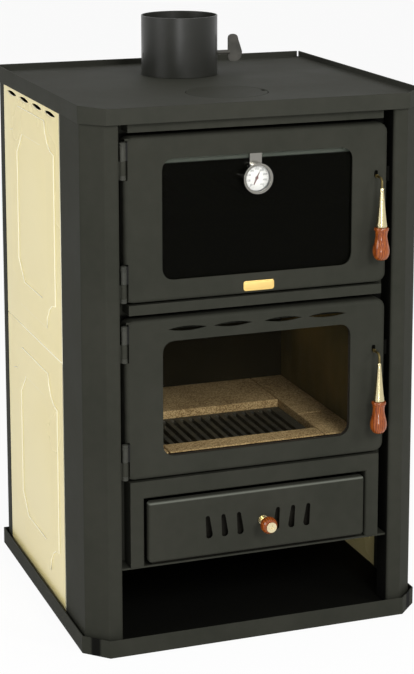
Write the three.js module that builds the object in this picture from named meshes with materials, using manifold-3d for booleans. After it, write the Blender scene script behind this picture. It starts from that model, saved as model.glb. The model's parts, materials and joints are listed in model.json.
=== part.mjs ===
// Wood-burning stove with an oven above its firebox, an ash drawer and a log bay, in millimetres.
// X runs to the stove's right, Y to its back and Z up. The origin lies on the floor, under the
// middle of the stove's whole box, door knobs included.

import * as THREE from 'three';
import { mergeVertices } from 'three/addons/utils/BufferGeometryUtils.js';
import Module from 'manifold-3d';

const wasm = await Module();
wasm.setup();

// Clearances and cuts
const seatGap = 0.3;
const panelGap = 0.5;
const panelEdgeGap = 1.5;
const turnGap = 0.45;
const overrun = 6;
const weld = 0.6;
const mergeDistance = 0.0005;

// Widths of the front, from the middle outwards
const doorWidth = 440;
const doorSideGap = 8.5;
const postStrip = 23;
const postChamfer = 31;
const railInset = 7;

// Depths of the body and how far the base and the top stand past it
const bodyDepth = 527;
const baseFrontMargin = 10;
const baseBackMargin = 7;
const baseSideMargin = 6.5;
const topFrontMargin = 8;
const topBackMargin = 8;
const topSideMargin = 3.5;

// Heights, stacked from the floor up
const baseFloorHeight = 17;
const bayHeight = 118.7;
const ceilingThickness = 3;
const apronHeight = 140;
const apronDoorGap = 4;
const fireDoorHeight = 256.5;
const fireDoorTopGap = 8.5;
const middleRailHeight = 16;
const railOvenDoorGap = 3.5;
const ovenDoorHeight = 259;
const ovenDoorTopGap = 7.5;
const topRailHeight = 27.7;

// Base tray
const baseHeight = 29;
const baseChamfer = 36;
const baseSheet = 2;
const baseFlange = 22;

// Top plate with its rim, the lid of the hot plate and the flue
const topChamfer = 35;
const topThickness = 5;
const rimSheet = 3;
const rimHeight = 10;
const frontRimDrop = 3;
const lipDrop = 18;
const rimCornerGap = 5;
const lidRadius = 67;
const lidThickness = 2.7;
const lidLedge = 8;
const lidBossDepth = 6;
const lidGap = 0.6;
const lidNotchLength = 7;
const lidNotchWidth = 11;
const lidFromBodyFront = 149;
const flueRadius = 65.5;
const flueWall = 2;
const flueHeight = 102;
const flueFromBodyBack = 144.5;
const flueOpeningRadius = 60;

// Damper in the flue
const damperShaftRadius = 3.75;
const damperShaftAbovePlate = 34;
const damperShaftReach = 26.5;
const damperDiscRadius = 58.5;
const damperDiscThickness = 2;
const damperBossRadius = 7;
const damperBossLength = 80;
const leafWidth = 26;
const leafAbove = 31;
const leafBelow = 17;
const leafThickness = 3;
const leafShares = { shoulder: 0.5, neck: 0.75, crown: 0.35, bow: 0.7, brow: 0.72, cheek: 0.4 };

// Corner posts of folded sheet
const postSheet = 2;
const postBend = 5;
const jogBend = 2.4;
const postReturnDepth = 41;
const frontPostDepth = 143.5;
const rearPostDepth = 31.5;
const rearReturnWidth = 34;
const ledgeDepth = 14;

// Enamelled side panels with their vents and embossed lines
const panelThickness = 3;
const lowerPanelTop = 443;
const panelSeam = 1;
const ventLength = 67;
const ventHeight = 8;
const ventBelowLip = 10;
const ventEdgeMargin = 19.5;
const ventBridge = 14;
const ventCount = 4;
const embossHeight = 1.7;
const embossWidth = 5;
const embossFrontMargin = 30;
const embossBackMargin = 43;
const embossTopMargin = 25;
const upperEmbossBottomMargin = 36;
const lowerEmbossBottomMargin = 45;
const lowerEmbossTopMargin = 40;
const scallopLength = 53;
const scallopHeight = 48;
const innerLineMargin = 40;
const innerLineCut = 38;

// Back panel
const backSheet = 2;
const backPanelInset = 6;
const backVentCount = 5;
const backVentPitch = 90;

// Face of the stove: front plate, rails and apron
const frontPlateThickness = 4;
const frontPlateLap = 20;
const railSheet = 2;
const railSetback = 7;
const apronSideWidth = 19;
const apronOpeningHeight = 115;
const apronRoll = 4;

// Ash drawer
const drawerSideGap = 9;
const drawerFrontRise = 6;
const drawerFrontHeight = 100.5;
const drawerSetback = 1;
const drawerFrontDepth = 12;
const drawerSheet = 2;
const drawerEdge = 4;
const drawerCorner = 6;
const drawerBoxInset = 9;
const drawerBoxHeight = 93;
const drawerBoxLength = 264;
const drawerOpeningGap = 6;
const drawerVentHeight = 38;
const drawerVentRise = 28.5;
const drawerVentTopRadius = 3.5;
const drawerVentBottomRadius = 6;
const drawerVentFirst = 31;
const drawerVentPitch = 26.5;
const drawerVentCount = 3;

// Knob of the ash drawer
const knobRise = 49;
const knobOffset = 7;
const knobReach = 27;
const knobRadius = 14;
const knobHeadRadius = 8.5;
const knobHeadThickness = 2;
const knobShankRadius = 3;
const ferruleFootRadius = 8;
const ferruleFootThickness = 2.5;
const ferruleRadius = 4.6;
const knobNutReach = 6;

// Doors, with their windows, glass, gaskets and hinges
const doorSetback = 5;
const doorDepth = 28;
const doorSheet = 3;
const doorFlange = 2;
const doorCorner = 15;
const doorEdge = 6;
const windowSideMargin = 61;
const ovenWindowBottomMargin = 33;
const ovenWindowTopMargin = 35.5;
const fireWindowBottomMargin = 33.5;
const fireWindowTopMargin = 36.5;
const windowCorner = 18;
const glassThickness = 4;
const glassMargin = 8;
const glassFrameMargin = 12;
const glassFrameSheet = 2;
const glassFrameLipMargin = 1;
const glassStripHeight = 9.5;
const gasketWidth = 10;
const gasketMargin = 4;
const doorSlotLength = 65.5;
const doorSlotHeight = 8;
const doorSlotBelowTop = 18;
const doorSlotFirst = 42.25;
const doorSlotPitch = 76;
const hingeRadius = 4.5;
const hingeHeight = 57;
const hingePinRadius = 2.5;
const hingeBoreCap = 3;
const hingeBottomMargin = 3.5;
const hingeTopMargin = 6.5;
const hingeAxisOut = 2.5;
const hingeAxisProud = 1.5;
const hingeNotch = 6;
const hingeNotchDepth = 6.5;
const hingeNotchGap = 2;
const hingeArmThickness = 4;
const hingeBlockWall = 3;

// Badge plate of the oven door, left bare
const badgeWidth = 51.5;
const badgeHeight = 16;
const badgeThickness = 1.5;
const badgeCorner = 2.5;
const badgeRise = 13;

// Turning latches with their hanging handles
const latchInset = 20;
const ovenLatchRise = 174.5;
const fireLatchRise = 172;
const spindleRadius = 2.8;
const spindleSlotRise = 6;
const spindleLength = 26;
const spindleFront = 4;
const latchWasherRadius = 8;
const latchWasherThickness = 2.4;
const stemRadius = 2;
const stemReach = 23;
const stemDrop = 15;
const tongueHeight = 10;
const tongueThickness = 4;
const tongueDepth = 15;
const tongueGap = 0.8;
const keeperReach = 4.3;
const keeperHeight = 24;
const keeperThickness = 3;
const coneLength = 64;
const coneTopRadius = 2.7;
const coneBottomRadius = 9.4;
const tangRadius = 1.5;
const tangEndGap = 12;
const gripLength = 53;
const gripCollarRadius = 12.2;
const gripNeckRadius = 9.6;
const gripBulbRadius = 14;
const gripEndRadius = 8.5;
const gripShares = { collar: 0.1, neck: 0.3, bulb: 0.66, tail: 0.9 };

// Thermometer in front of the oven's glass
const gaugeRadius = 24.4;
const gaugeWall = 2;
const gaugeProud = 9;
const gaugeBack = 3.6;
const gaugeOffset = -4;
const gaugeRise = 184.5;
const gaugeLipWidth = 4;
const gaugeLipThickness = 2;
const gaugeLensThickness = 1.5;
const dialThickness = 2;
const bracketWidth = 20;
const bracketThickness = 2;
const bracketLap = 21;
const needleLength = 12.5;
const needleTail = 12;
const needleWidth = 3;
const needleTailWidth = 1.2;
const needleThickness = 0.9;
const needleHubRadius = 2.6;
const needleAngle = THREE.MathUtils.degToRad(25);

// Inside of the stove: shell, oven, firebox
const shellThickness = 3;
const shellInset = 30.5;
const shellBackGap = 62;
const ovenWall = 3;
const ovenSideGap = 14;
const ovenFloorRise = 22.5;
const ovenHeight = 185;
const ovenBackGap = 0.6;
const runnerWidth = 9;
const runnerThickness = 2;
const runnerRise = 100;
const runnerEndMargin = 14;
const rackBar = 3;
const rackFrontGap = 12;
const rackSideGap = 1;
const rackBarCount = 11;
const shelfAboveApron = 1;
const shelfThickness = 4;
const fireOpeningLap = 5;
const fireOpeningHeight = 206;
const fireOpeningRise = 24;
const brickThickness = 29.7;
const brickJoint = 1;
const brickFrontGap = 2.4;
const frontBrickDepth = 38;
const frontPairDepth = 114;
const grateHalfWidth = 134;
const grateDepth = 163;
const grateThickness = 16.7;
const grateRim = 10;
const grateBar = 8;
const grateGap = 8;
const grateGapCount = 15;
const smokeWayDepth = 71;
const fireBackThickness = 3;
const fireBackHeight = 280;

// Roundness of arcs and turned pieces, as counts of steps
const arcSteps = 2;
const lensSteps = 5;
const edgeSteps = 3;
const bendSteps = 3;
const fluePanes = 32;
const lidPanes = 32;
const rodPanes = 12;
const barrelPanes = 12;
const gripPanes = 14;
const gaugePanes = 28;
const stemSteps = 6;
const stemPanes = 5;
const ballSteps = 7;
const ventEndSteps = 5;

// Places that follow from those sizes
const postInner = doorWidth / 2 + doorSideGap;
const bodyHalf = postInner + postStrip + postChamfer;
const baseHalf = bodyHalf + baseSideMargin;
const topHalf = bodyHalf + topSideMargin;
const baseDepth = bodyDepth + baseFrontMargin + baseBackMargin;
const bodyFront = baseFrontMargin - baseDepth / 2;
const bodyBack = bodyFront + bodyDepth;
const topFront = bodyFront - topFrontMargin;
const topBack = bodyBack + topBackMargin;
const railHalf = doorWidth / 2 - railInset;
const railFront = bodyFront + railSetback;
const apronOpeningHalfWidth = railHalf - apronSideWidth;
const drawerFrontHalfWidth = apronOpeningHalfWidth - drawerSideGap;
const drawerBoxHalfWidth = drawerFrontHalfWidth - drawerBoxInset;
const doorFront = bodyFront + doorSetback;
const drawerFace = bodyFront + drawerSetback;
const returnBack = bodyFront + postReturnDepth;
const plateFront = returnBack + seatGap;
const plateBack = plateFront + frontPlateThickness;
const ceilingBottom = baseFloorHeight + bayHeight;
const ceilingTop = ceilingBottom + ceilingThickness;
const apronBottom = ceilingTop + seatGap;
const apronTop = apronBottom + apronHeight;
const fireDoorBottom = apronTop + apronDoorGap;
const fireDoorTop = fireDoorBottom + fireDoorHeight;
const middleRailBottom = fireDoorTop + fireDoorTopGap;
const middleRailTop = middleRailBottom + middleRailHeight;
const ovenDoorBottom = middleRailTop + railOvenDoorGap;
const ovenDoorTop = ovenDoorBottom + ovenDoorHeight;
const topRailBottom = ovenDoorTop + ovenDoorTopGap;
const frameTop = topRailBottom + topRailHeight;
const topUnderside = frameTop + seatGap;
const surface = topUnderside + topThickness;
const lipBottom = surface - lipDrop;
const frameBottom = baseFloorHeight + seatGap;
const flueY = bodyBack - flueFromBodyBack;
const lidY = bodyFront + lidFromBodyFront;
const shaftZ = surface + damperShaftAbovePlate;
const hingeX = -doorWidth / 2 - hingeAxisOut;
const latchX = doorWidth / 2 - latchInset;
const panelOuter = bodyHalf;
const panelInner = panelOuter - panelThickness;
const ledgeOuter = panelInner - seatGap;
const panelFront = bodyFront + frontPostDepth + panelEdgeGap;
const panelBack = bodyBack - rearPostDepth - panelEdgeGap;
const panelSpan = panelBack - panelFront - ventEdgeMargin * 2;
const sideVentLength = (panelSpan - ventBridge * (ventCount - 1)) / ventCount;
const insideFront = plateBack + seatGap;
const shellHalfWidth = postInner - shellInset;
const shellInner = shellHalfWidth - shellThickness;
const ovenHalfWidth = shellInner - ovenSideGap - ovenWall;
const fireOpeningHalfWidth = shellInner - fireOpeningLap;
const shellBack = bodyBack - shellBackGap;
const ovenFloor = ovenDoorBottom + ovenFloorRise;
const shelfBottom = apronTop - shelfAboveApron - shelfThickness + seatGap;
const shelfTop = shelfBottom + shelfThickness;
const brickBottom = shelfTop + seatGap;
const bricksFront = insideFront + brickFrontGap;
const grateFront = bricksFront + frontBrickDepth + brickJoint;
const grateBack = grateFront + grateDepth;
const fireBackEnd = shellBack - shellThickness - smokeWayDepth;
const fireBackFront = fireBackEnd - fireBackThickness;
const bricksBack = fireBackFront - seatGap;
const ovenBack = fireBackFront - ovenBackGap - ovenWall;
const fireOpeningBottom = fireDoorBottom + fireOpeningRise;
const drawerBoxFront = drawerFace + drawerFrontDepth + seatGap;
const knobZ = ceilingTop + knobRise + drawerFrontRise;
const knobFlat = Math.sqrt(knobRadius ** 2 - knobHeadRadius ** 2);
const knobFrontReach = knobReach + knobFlat + seatGap + knobHeadThickness;
const boxShift = -(topBack + drawerFace - knobFrontReach) / 2;

// Colours and surfaces
const darkSteel = { color: 0x42403b, roughness: 0.62, metalness: 0.15 };
const creamEnamel = { color: 0xded2a5, roughness: 0.28, metalness: 0 };
const blackSteel = { color: 0x24221f, roughness: 0.75, metalness: 0.2 };
const castIron = { color: 0x393733, roughness: 0.7, metalness: 0.3 };
const firebrick = { color: 0xb79a6e, roughness: 0.95, metalness: 0 };
const rope = { color: 0x8c8880, roughness: 1, metalness: 0 };
const glass = { color: 0xd9e0de, roughness: 0.04, metalness: 0, transparent: true, opacity: 0.3 };
const brass = { color: 0xcfae66, roughness: 0.3, metalness: 0.9 };
const paleBrass = { color: 0xdcd0a2, roughness: 0.28, metalness: 0.8 };
const steel = { color: 0x8b8984, roughness: 0.35, metalness: 0.9 };
const chrome = { color: 0xc9ccd0, roughness: 0.12, metalness: 1 };
const wood = { color: 0x9a4f2b, roughness: 0.3, metalness: 0 };
const dialWhite = { color: 0xf2f0ea, roughness: 0.5, metalness: 0 };
const needleBrown = { color: 0x5c2a20, roughness: 0.5, metalness: 0 };

// A closed geometry as a solid that can be joined to others and cut
function solidOf(geometry) {
  geometry.deleteAttribute('normal');
  geometry.deleteAttribute('uv');
  const merged = mergeVertices(geometry, mergeDistance);
  const index = merged.getIndex().array;
  const triangles = [];
  for (let i = 0; i < index.length; i += 3) {
    const [a, b, c] = index.slice(i, i + 3);
    if (a !== b && b !== c && c !== a) {
      triangles.push(a, b, c);
    }
  }
  return new wasm.Manifold(new wasm.Mesh({
    numProp: 3,
    vertProperties: new Float32Array(merged.getAttribute('position').array),
    triVerts: new Uint32Array(triangles),
  }));
}

// A named mesh of one solid, with its own material
function piece(name, finish, body) {
  const { vertProperties, triVerts } = body.getMesh();
  const indexed = new THREE.BufferGeometry();
  indexed.setAttribute('position', new THREE.BufferAttribute(vertProperties, 3));
  indexed.setIndex(new THREE.BufferAttribute(triVerts, 1));
  const geometry = indexed.toNonIndexed();
  geometry.computeVertexNormals();
  const mesh = new THREE.Mesh(geometry, new THREE.MeshStandardMaterial(finish));
  mesh.name = name;
  return mesh;
}

function joined(bodies) {
  return bodies.reduce((whole, body) => whole.add(body));
}

function cut(body, tools) {
  return tools.reduce((rest, tool) => rest.subtract(tool), body);
}

function box(left, right, front, back, bottom, top) {
  const geometry = new THREE.BoxGeometry(right - left, back - front, top - bottom);
  geometry.translate((left + right) / 2, (front + back) / 2, (bottom + top) / 2);
  return solidOf(geometry);
}

function extruded(shape, depth, curveSegments) {
  return new THREE.ExtrudeGeometry(shape, { depth, bevelEnabled: false, curveSegments });
}

// A prism on an outline drawn in plan
function planPrism(shape, bottom, top) {
  return solidOf(extruded(shape, top - bottom, arcSteps).translate(0, 0, bottom));
}

// A prism on an outline drawn as seen from the front, with x across and z up
function frontPrism(shape, front, back, steps = arcSteps) {
  return solidOf(extruded(shape, back - front, steps).rotateX(Math.PI / 2).translate(0, back, 0));
}

// A prism on an outline drawn in y and z, running across the stove
function sidePrism(shape, left, right, steps = arcSteps) {
  const turn = new THREE.Matrix4().makeBasis(
    new THREE.Vector3(0, 1, 0), new THREE.Vector3(0, 0, 1), new THREE.Vector3(1, 0, 0));
  return solidOf(extruded(shape, right - left, steps).applyMatrix4(turn).translate(left, 0, 0));
}

function rodAcross(radius, left, right, y, z, panes = rodPanes) {
  const geometry = new THREE.CylinderGeometry(radius, radius, right - left, panes);
  return solidOf(geometry.rotateZ(Math.PI / 2).translate((left + right) / 2, y, z));
}

function rodDeep(radius, x, front, back, z, panes = rodPanes) {
  const geometry = new THREE.CylinderGeometry(radius, radius, back - front, panes);
  return solidOf(geometry.translate(x, (front + back) / 2, z));
}

function rodUpright(radius, x, y, bottom, top, panes = rodPanes) {
  const geometry = new THREE.CylinderGeometry(radius, radius, top - bottom, panes);
  return solidOf(geometry.rotateX(Math.PI / 2).translate(x, y, (bottom + top) / 2));
}

// A piece turned about an axis along Y; the profile holds radius and y
function turnedDeep(profile, x, z, panes) {
  const points = profile.map(([radius, y]) => new THREE.Vector2(radius, y));
  return solidOf(new THREE.LatheGeometry(points, panes).translate(x, 0, z));
}

// A piece turned about an upright axis; the profile holds radius and z
function turnedUpright(profile, x, y, panes) {
  const points = profile.map(([radius, z]) => new THREE.Vector2(radius, z));
  return solidOf(new THREE.LatheGeometry(points, panes).rotateX(Math.PI / 2).translate(x, y, 0));
}

// Outlines
function polygon(points) {
  return new THREE.Shape(points.map(([x, y]) => new THREE.Vector2(x, y)));
}

function rectangle(left, right, bottom, top) {
  return polygon([[left, bottom], [right, bottom], [right, top], [left, top]]);
}

function roundedRectangle(left, right, bottom, top, radius) {
  const shape = new THREE.Shape();
  shape.absarc(right - radius, bottom + radius, radius, -Math.PI / 2, 0);
  shape.absarc(right - radius, top - radius, radius, 0, Math.PI / 2);
  shape.absarc(left + radius, top - radius, radius, Math.PI / 2, Math.PI);
  shape.absarc(left + radius, bottom + radius, radius, Math.PI, Math.PI * 1.5);
  return shape;
}

function ringOf(outer, inner) {
  outer.holes.push(inner);
  return outer;
}

function lens(centreX, centreY, length, height) {
  const shape = new THREE.Shape();
  shape.moveTo(centreX - length / 2, centreY);
  shape.quadraticCurveTo(centreX, centreY - height, centreX + length / 2, centreY);
  shape.quadraticCurveTo(centreX, centreY + height, centreX - length / 2, centreY);
  return shape;
}

// The plan of the base or the top: a rectangle with its two front corners cut off
function chamferedPlan(half, front, back, chamfer, inset) {
  const side = half - inset;
  const slant = chamfer - inset * (2 - Math.SQRT2);
  return polygon([
    [side, back - inset], [-side, back - inset], [-side, front + inset + slant],
    [-side + slant, front + inset], [side - slant, front + inset], [side, front + inset + slant],
  ]);
}

// A rectangle whose corners are scooped out by arcs round the corner points
function scallopedRectangle(left, right, bottom, top, inset) {
  const shape = new THREE.Shape();
  const across = scallopLength + inset;
  const up = scallopHeight + inset;
  const slip = Math.asin(inset / across);
  const corners = [[left, bottom, 0], [right, bottom, 1], [right, top, 2], [left, top, 3]];
  corners.forEach(([x, y, quarter]) => {
    const from = (quarter + 1) * Math.PI / 2 - slip;
    const to = quarter * Math.PI / 2 + slip;
    shape.absellipse(x, y, across, up, from, to, true);
  });
  return shape;
}

function octagon(left, right, bottom, top, inset) {
  const slant = innerLineCut - inset * (2 - Math.SQRT2);
  const [west, east] = [left + inset, right - inset];
  const [south, north] = [bottom + inset, top - inset];
  return polygon([
    [west + slant, south], [east - slant, south], [east, south + slant], [east, north - slant],
    [east - slant, north], [west + slant, north], [west, north - slant], [west, south + slant],
  ]);
}

// Points of a path whose corners are rounded, each corner with its own bend radius
function bentPath(corners) {
  const points = [];
  corners.forEach(([x, y, radius], i) => {
    const here = new THREE.Vector2(x, y);
    if (!radius) {
      points.push(here);
      return;
    }
    const before = new THREE.Vector2(...corners[i - 1].slice(0, 2)).sub(here).normalize();
    const after = new THREE.Vector2(...corners[i + 1].slice(0, 2)).sub(here).normalize();
    const half = Math.acos(before.dot(after)) / 2;
    const toCentre = before.clone().add(after).normalize().multiplyScalar(radius / Math.sin(half));
    const centre = here.clone().add(toCentre);
    const start = here.clone().addScaledVector(before, radius / Math.tan(half)).sub(centre);
    const turn = Math.sign(before.cross(after)) * (Math.PI - 2 * half);
    for (let step = 0; step <= bendSteps; step += 1) {
      const spoke = start.clone().rotateAround(new THREE.Vector2(), -turn * step / bendSteps);
      points.push(spoke.add(centre));
    }
  });
  return points;
}

// The plan of a folded sheet: its outer path and the same path moved inwards by the sheet
function foldedPlan(corners, sheet) {
  const path = bentPath(corners);
  const inner = path.map((point, i) => {
    const ahead = path[Math.min(i + 1, path.length - 1)].clone();
    const along = ahead.sub(path[Math.min(i, path.length - 2)]).normalize();
    const behind = path[Math.max(i - 1, 0)].clone();
    const before = path[Math.max(i, 1)].clone().sub(behind).normalize();
    const normals = [new THREE.Vector2(-along.y, along.x), new THREE.Vector2(-before.y, before.x)];
    const mitre = normals[0].clone().add(normals[1]);
    return point.clone().addScaledVector(mitre, sheet / (1 + normals[0].dot(normals[1])));
  });
  return new THREE.Shape([...path, ...inner.reverse()]);
}

// A slab seen from the front whose front edges are rounded
function roundedSlab(left, right, bottom, top, corner, edge, front, back) {
  const shape = roundedRectangle(left + edge, right - edge, bottom + edge, top - edge, corner - edge);
  const depth = back - front;
  const geometry = new THREE.ExtrudeGeometry(shape, {
    depth,
    bevelSize: edge,
    bevelThickness: edge,
    bevelSegments: edgeSteps,
    curveSegments: arcSteps,
  });
  geometry.rotateX(Math.PI / 2).translate(0, front + depth + edge, 0);
  const keep = box(left - edge, right + edge, front - edge, back, bottom - edge, top + edge);
  return solidOf(geometry).intersect(keep);
}

// A cutter for an opening whose edge rolls inwards, widest at the front
function rolledCutter(shape, roll, front, back) {
  const depth = back - front;
  const geometry = new THREE.ExtrudeGeometry(shape, {
    depth,
    bevelSize: -roll,
    bevelThickness: roll,
    bevelSegments: edgeSteps,
    curveSegments: arcSteps,
  });
  return solidOf(geometry.rotateX(Math.PI / 2).translate(0, front + depth + roll, 0));
}

// Base tray: rim, raised floor and a flange to stand on
function baseTray() {
  const [front, back] = [-baseDepth / 2, baseDepth / 2];
  const outline = (inset) => chamferedPlan(baseHalf, front, back, baseChamfer, inset);
  const rim = planPrism(ringOf(outline(0), outline(baseSheet)), 0, baseHeight);
  const floor = planPrism(outline(baseSheet / 2), baseFloorHeight - baseSheet, baseFloorHeight);
  const flange = planPrism(ringOf(outline(0), outline(baseFlange)), 0, baseSheet);
  return piece('base_tray', darkSteel, joined([rim, floor, flange]));
}

// Top plate: cooking surface, rim all round, recess for the lid and the way to the flue
function topPlate() {
  const outline = (inset) => chamferedPlan(topHalf, topFront, topBack, topChamfer, inset);
  const rim = planPrism(ringOf(outline(0), outline(rimSheet)), lipBottom, surface + rimHeight);
  const slab = planPrism(outline(rimSheet / 2), topUnderside, surface);
  const chamferEnd = topFront + topChamfer;
  const taper = polygon([
    [topFront - overrun, surface + rimHeight - frontRimDrop], [chamferEnd, surface + rimHeight],
    [chamferEnd, surface + rimHeight + overrun], [topFront - overrun, surface + rimHeight + overrun],
  ]);
  const tools = [
    sidePrism(taper, -topHalf - overrun, topHalf + overrun),
    rodUpright(lidRadius + lidGap, 0, lidY, surface - lidThickness - seatGap, surface + overrun, lidPanes),
    rodUpright(lidRadius - lidLedge, 0, lidY, topUnderside - overrun, surface, lidPanes),
    rodUpright(flueOpeningRadius, 0, flueY, topUnderside - overrun, surface + overrun, fluePanes),
  ];
  for (const side of [-1, 1]) {
    const [a, b] = [side * (topHalf - rimCornerGap), side * (topHalf + overrun)];
    tools.push(box(Math.min(a, b), Math.max(a, b), topBack - rimSheet, topBack + overrun,
      surface, surface + rimHeight + overrun));
  }
  return piece('top_plate', darkSteel, cut(joined([rim, slab]), tools));
}

// Lid of the hot plate, flush with the surface, with a notch for the lifting tool
function hotplateLid() {
  const bossRadius = lidRadius - lidLedge - lidGap;
  const bottom = surface - lidThickness - lidBossDepth;
  const body = turnedUpright([
    [0, bottom], [bossRadius, bottom], [bossRadius, surface - lidThickness],
    [lidRadius, surface - lidThickness], [lidRadius, surface], [0, surface],
  ], 0, lidY, lidPanes);
  const notch = box(lidRadius - lidNotchLength, lidRadius + overrun, lidY - lidNotchWidth / 2,
    lidY + lidNotchWidth / 2, bottom, surface + overrun);
  return piece('hotplate_lid', castIron, cut(body, [notch]));
}

function fluePipe() {
  const bottom = surface + seatGap;
  const top = surface + flueHeight;
  const wall = turnedUpright([
    [flueRadius - flueWall, bottom], [flueRadius, bottom], [flueRadius, top],
    [flueRadius - flueWall, top], [flueRadius - flueWall, bottom],
  ], 0, flueY, fluePanes);
  const shaftHole = rodAcross(damperShaftRadius + turnGap, -flueRadius - overrun, flueRadius + overrun,
    flueY, shaftZ);
  return piece('flue_pipe', darkSteel, cut(wall, [shaftHole]));
}

// Damper: a shaft through the pipe with a leaf-shaped handle, and the disc on it, standing open
function damper() {
  const shaft = rodAcross(damperShaftRadius, -flueRadius + seatGap, flueRadius + damperShaftReach,
    flueY, shaftZ);
  const leaf = new THREE.Shape();
  leaf.moveTo(0, -leafBelow * leafShares.shoulder);
  leaf.quadraticCurveTo(0, -leafBelow, leafWidth * leafShares.cheek, -leafBelow);
  leaf.quadraticCurveTo(leafWidth, -leafBelow, leafWidth, 0);
  leaf.lineTo(leafWidth * leafShares.brow, leafAbove * leafShares.brow);
  leaf.quadraticCurveTo(leafWidth * leafShares.bow, leafAbove, leafWidth * leafShares.crown, leafAbove);
  leaf.quadraticCurveTo(0, leafAbove, 0, leafAbove * leafShares.neck);
  const plate = frontPrism(leaf, flueY - leafThickness / 2, flueY + leafThickness / 2, lensSteps);
  const handle = plate.translate([flueRadius + damperShaftReach - leafThickness, 0, shaftZ]);
  const bossHalf = damperBossLength / 2;
  const disc = joined([
    rodDeep(damperDiscRadius, 0, flueY - damperDiscThickness / 2, flueY + damperDiscThickness / 2,
      shaftZ, lidPanes),
    rodAcross(damperBossRadius, -bossHalf, bossHalf, flueY, shaftZ),
  ]);
  const bore = rodAcross(damperShaftRadius + seatGap, -flueRadius, flueRadius, flueY, shaftZ);
  return [
    piece('damper_spindle', steel, joined([shaft, handle])),
    piece('damper_disc', castIron, cut(disc, [bore])),
  ];
}

// Plan corners of a front post, drawn for the left side or the right one
function frontPostCorners(side) {
  const sideEnd = bodyFront + frontPostDepth;
  const corners = [
    [postInner, returnBack],
    [postInner, bodyFront, postBend],
    [postInner + postStrip, bodyFront, postBend],
    [bodyHalf, bodyFront + postChamfer, postBend],
    [bodyHalf, sideEnd - jogBend, jogBend],
    [ledgeOuter, sideEnd, jogBend],
    [ledgeOuter, sideEnd + ledgeDepth],
  ];
  return corners.map(([x, y, radius]) => [side * x, y, radius]);
}

function rearPostCorners(side) {
  const sideStart = bodyBack - rearPostDepth;
  const corners = [
    [ledgeOuter, sideStart - ledgeDepth],
    [ledgeOuter, sideStart, jogBend],
    [bodyHalf, sideStart + jogBend, jogBend],
    [bodyHalf, bodyBack, postBend],
    [bodyHalf - rearReturnWidth, bodyBack],
  ];
  return corners.map(([x, y, radius]) => [side * x, y, radius]);
}

// Sheet of a post: drawn outer face first, so its inside lies to the left of a right-hand post
function postBody(corners, side) {
  const plan = side > 0 ? foldedPlan(corners, postSheet) : foldedPlan([...corners].reverse(), postSheet);
  return planPrism(plan, frameBottom, frameTop);
}

// Heights of the two hinges of a door above the door's bottom edge
function hingeRises(doorHeight) {
  return [hingeBottomMargin, doorHeight - hingeTopMargin - hingeHeight];
}

// The four hinge halves on the left post: lower barrel, pin and the arm welded to the post
function fixedHinges() {
  const bodies = [];
  const doors = [[ovenDoorBottom, ovenDoorHeight], [fireDoorBottom, fireDoorHeight]];
  const y = doorFront - hingeAxisProud;
  for (const [doorBottom, doorHeight] of doors) {
    for (const rise of hingeRises(doorHeight)) {
      const bottom = doorBottom + rise;
      const middle = bottom + hingeHeight / 2;
      const pinTop = bottom + hingeHeight - hingeBoreCap - seatGap;
      const armHalf = hingeArmThickness / 2;
      bodies.push(
        rodUpright(hingeRadius, hingeX, y, bottom, middle, barrelPanes),
        rodUpright(hingePinRadius, hingeX, y, middle - weld, pinTop, barrelPanes),
        box(-postInner - weld, hingeX, y - armHalf + postSheet, y + armHalf + postSheet, bottom, middle),
      );
    }
  }
  return bodies;
}

// The two keepers on the right post, just in front of the latch tongues
function keepers() {
  const front = doorFront + tongueDepth - panelGap - keeperThickness;
  const heights = [ovenDoorBottom + ovenLatchRise, fireDoorBottom + fireLatchRise];
  return heights.map((z) => box(postInner - keeperReach, postInner + weld, front,
    front + keeperThickness, z - keeperHeight / 2, z + keeperHeight / 2));
}

function posts() {
  const leftFront = [postBody(frontPostCorners(-1), -1), ...fixedHinges()];
  const rightFront = [postBody(frontPostCorners(1), 1), ...keepers()];
  return [
    piece('left_front_post', darkSteel, joined(leftFront)),
    piece('right_front_post', darkSteel, joined(rightFront)),
    piece('left_rear_post', darkSteel, postBody(rearPostCorners(-1), -1)),
    piece('right_rear_post', darkSteel, postBody(rearPostCorners(1), 1)),
  ];
}

// The embossed lines of a panel: a scalloped outer line and an eight-sided inner one
function embossedLines(bottom, top, inside) {
  const [front, back] = [panelFront + embossFrontMargin, panelBack - embossBackMargin];
  const outer = ringOf(scallopedRectangle(front, back, bottom, top, 0),
    scallopedRectangle(front, back, bottom, top, embossWidth));
  const edges = [front + innerLineMargin, back - innerLineMargin,
    bottom + innerLineMargin, top - innerLineMargin];
  const inner = ringOf(octagon(...edges, 0), octagon(...edges, embossWidth));
  return [outer, inner].map((shape) => sidePrism(shape, inside, panelOuter + embossHeight));
}

// One panel of the right side, mirrored in plan for the left one
function sidePanel(name, side, bottom, top, lineBottom, lineTop, vented) {
  const sheet = sidePrism(rectangle(panelFront, panelBack, bottom, top), panelInner, panelOuter);
  const body = joined([sheet, ...embossedLines(lineBottom, lineTop, panelOuter - weld)]);
  const tools = [];
  if (vented) {
    for (let i = 0; i < ventCount; i += 1) {
      const y = panelFront + ventEdgeMargin + sideVentLength / 2 + (sideVentLength + ventBridge) * i;
      tools.push(sidePrism(lens(y, lipBottom - ventBelowLip, sideVentLength, ventHeight),
        panelInner - overrun, panelOuter + overrun, lensSteps));
    }
  }
  const rightHand = cut(body, tools);
  return piece(name, creamEnamel, side > 0 ? rightHand : rightHand.mirror([1, 0, 0]));
}

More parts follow.
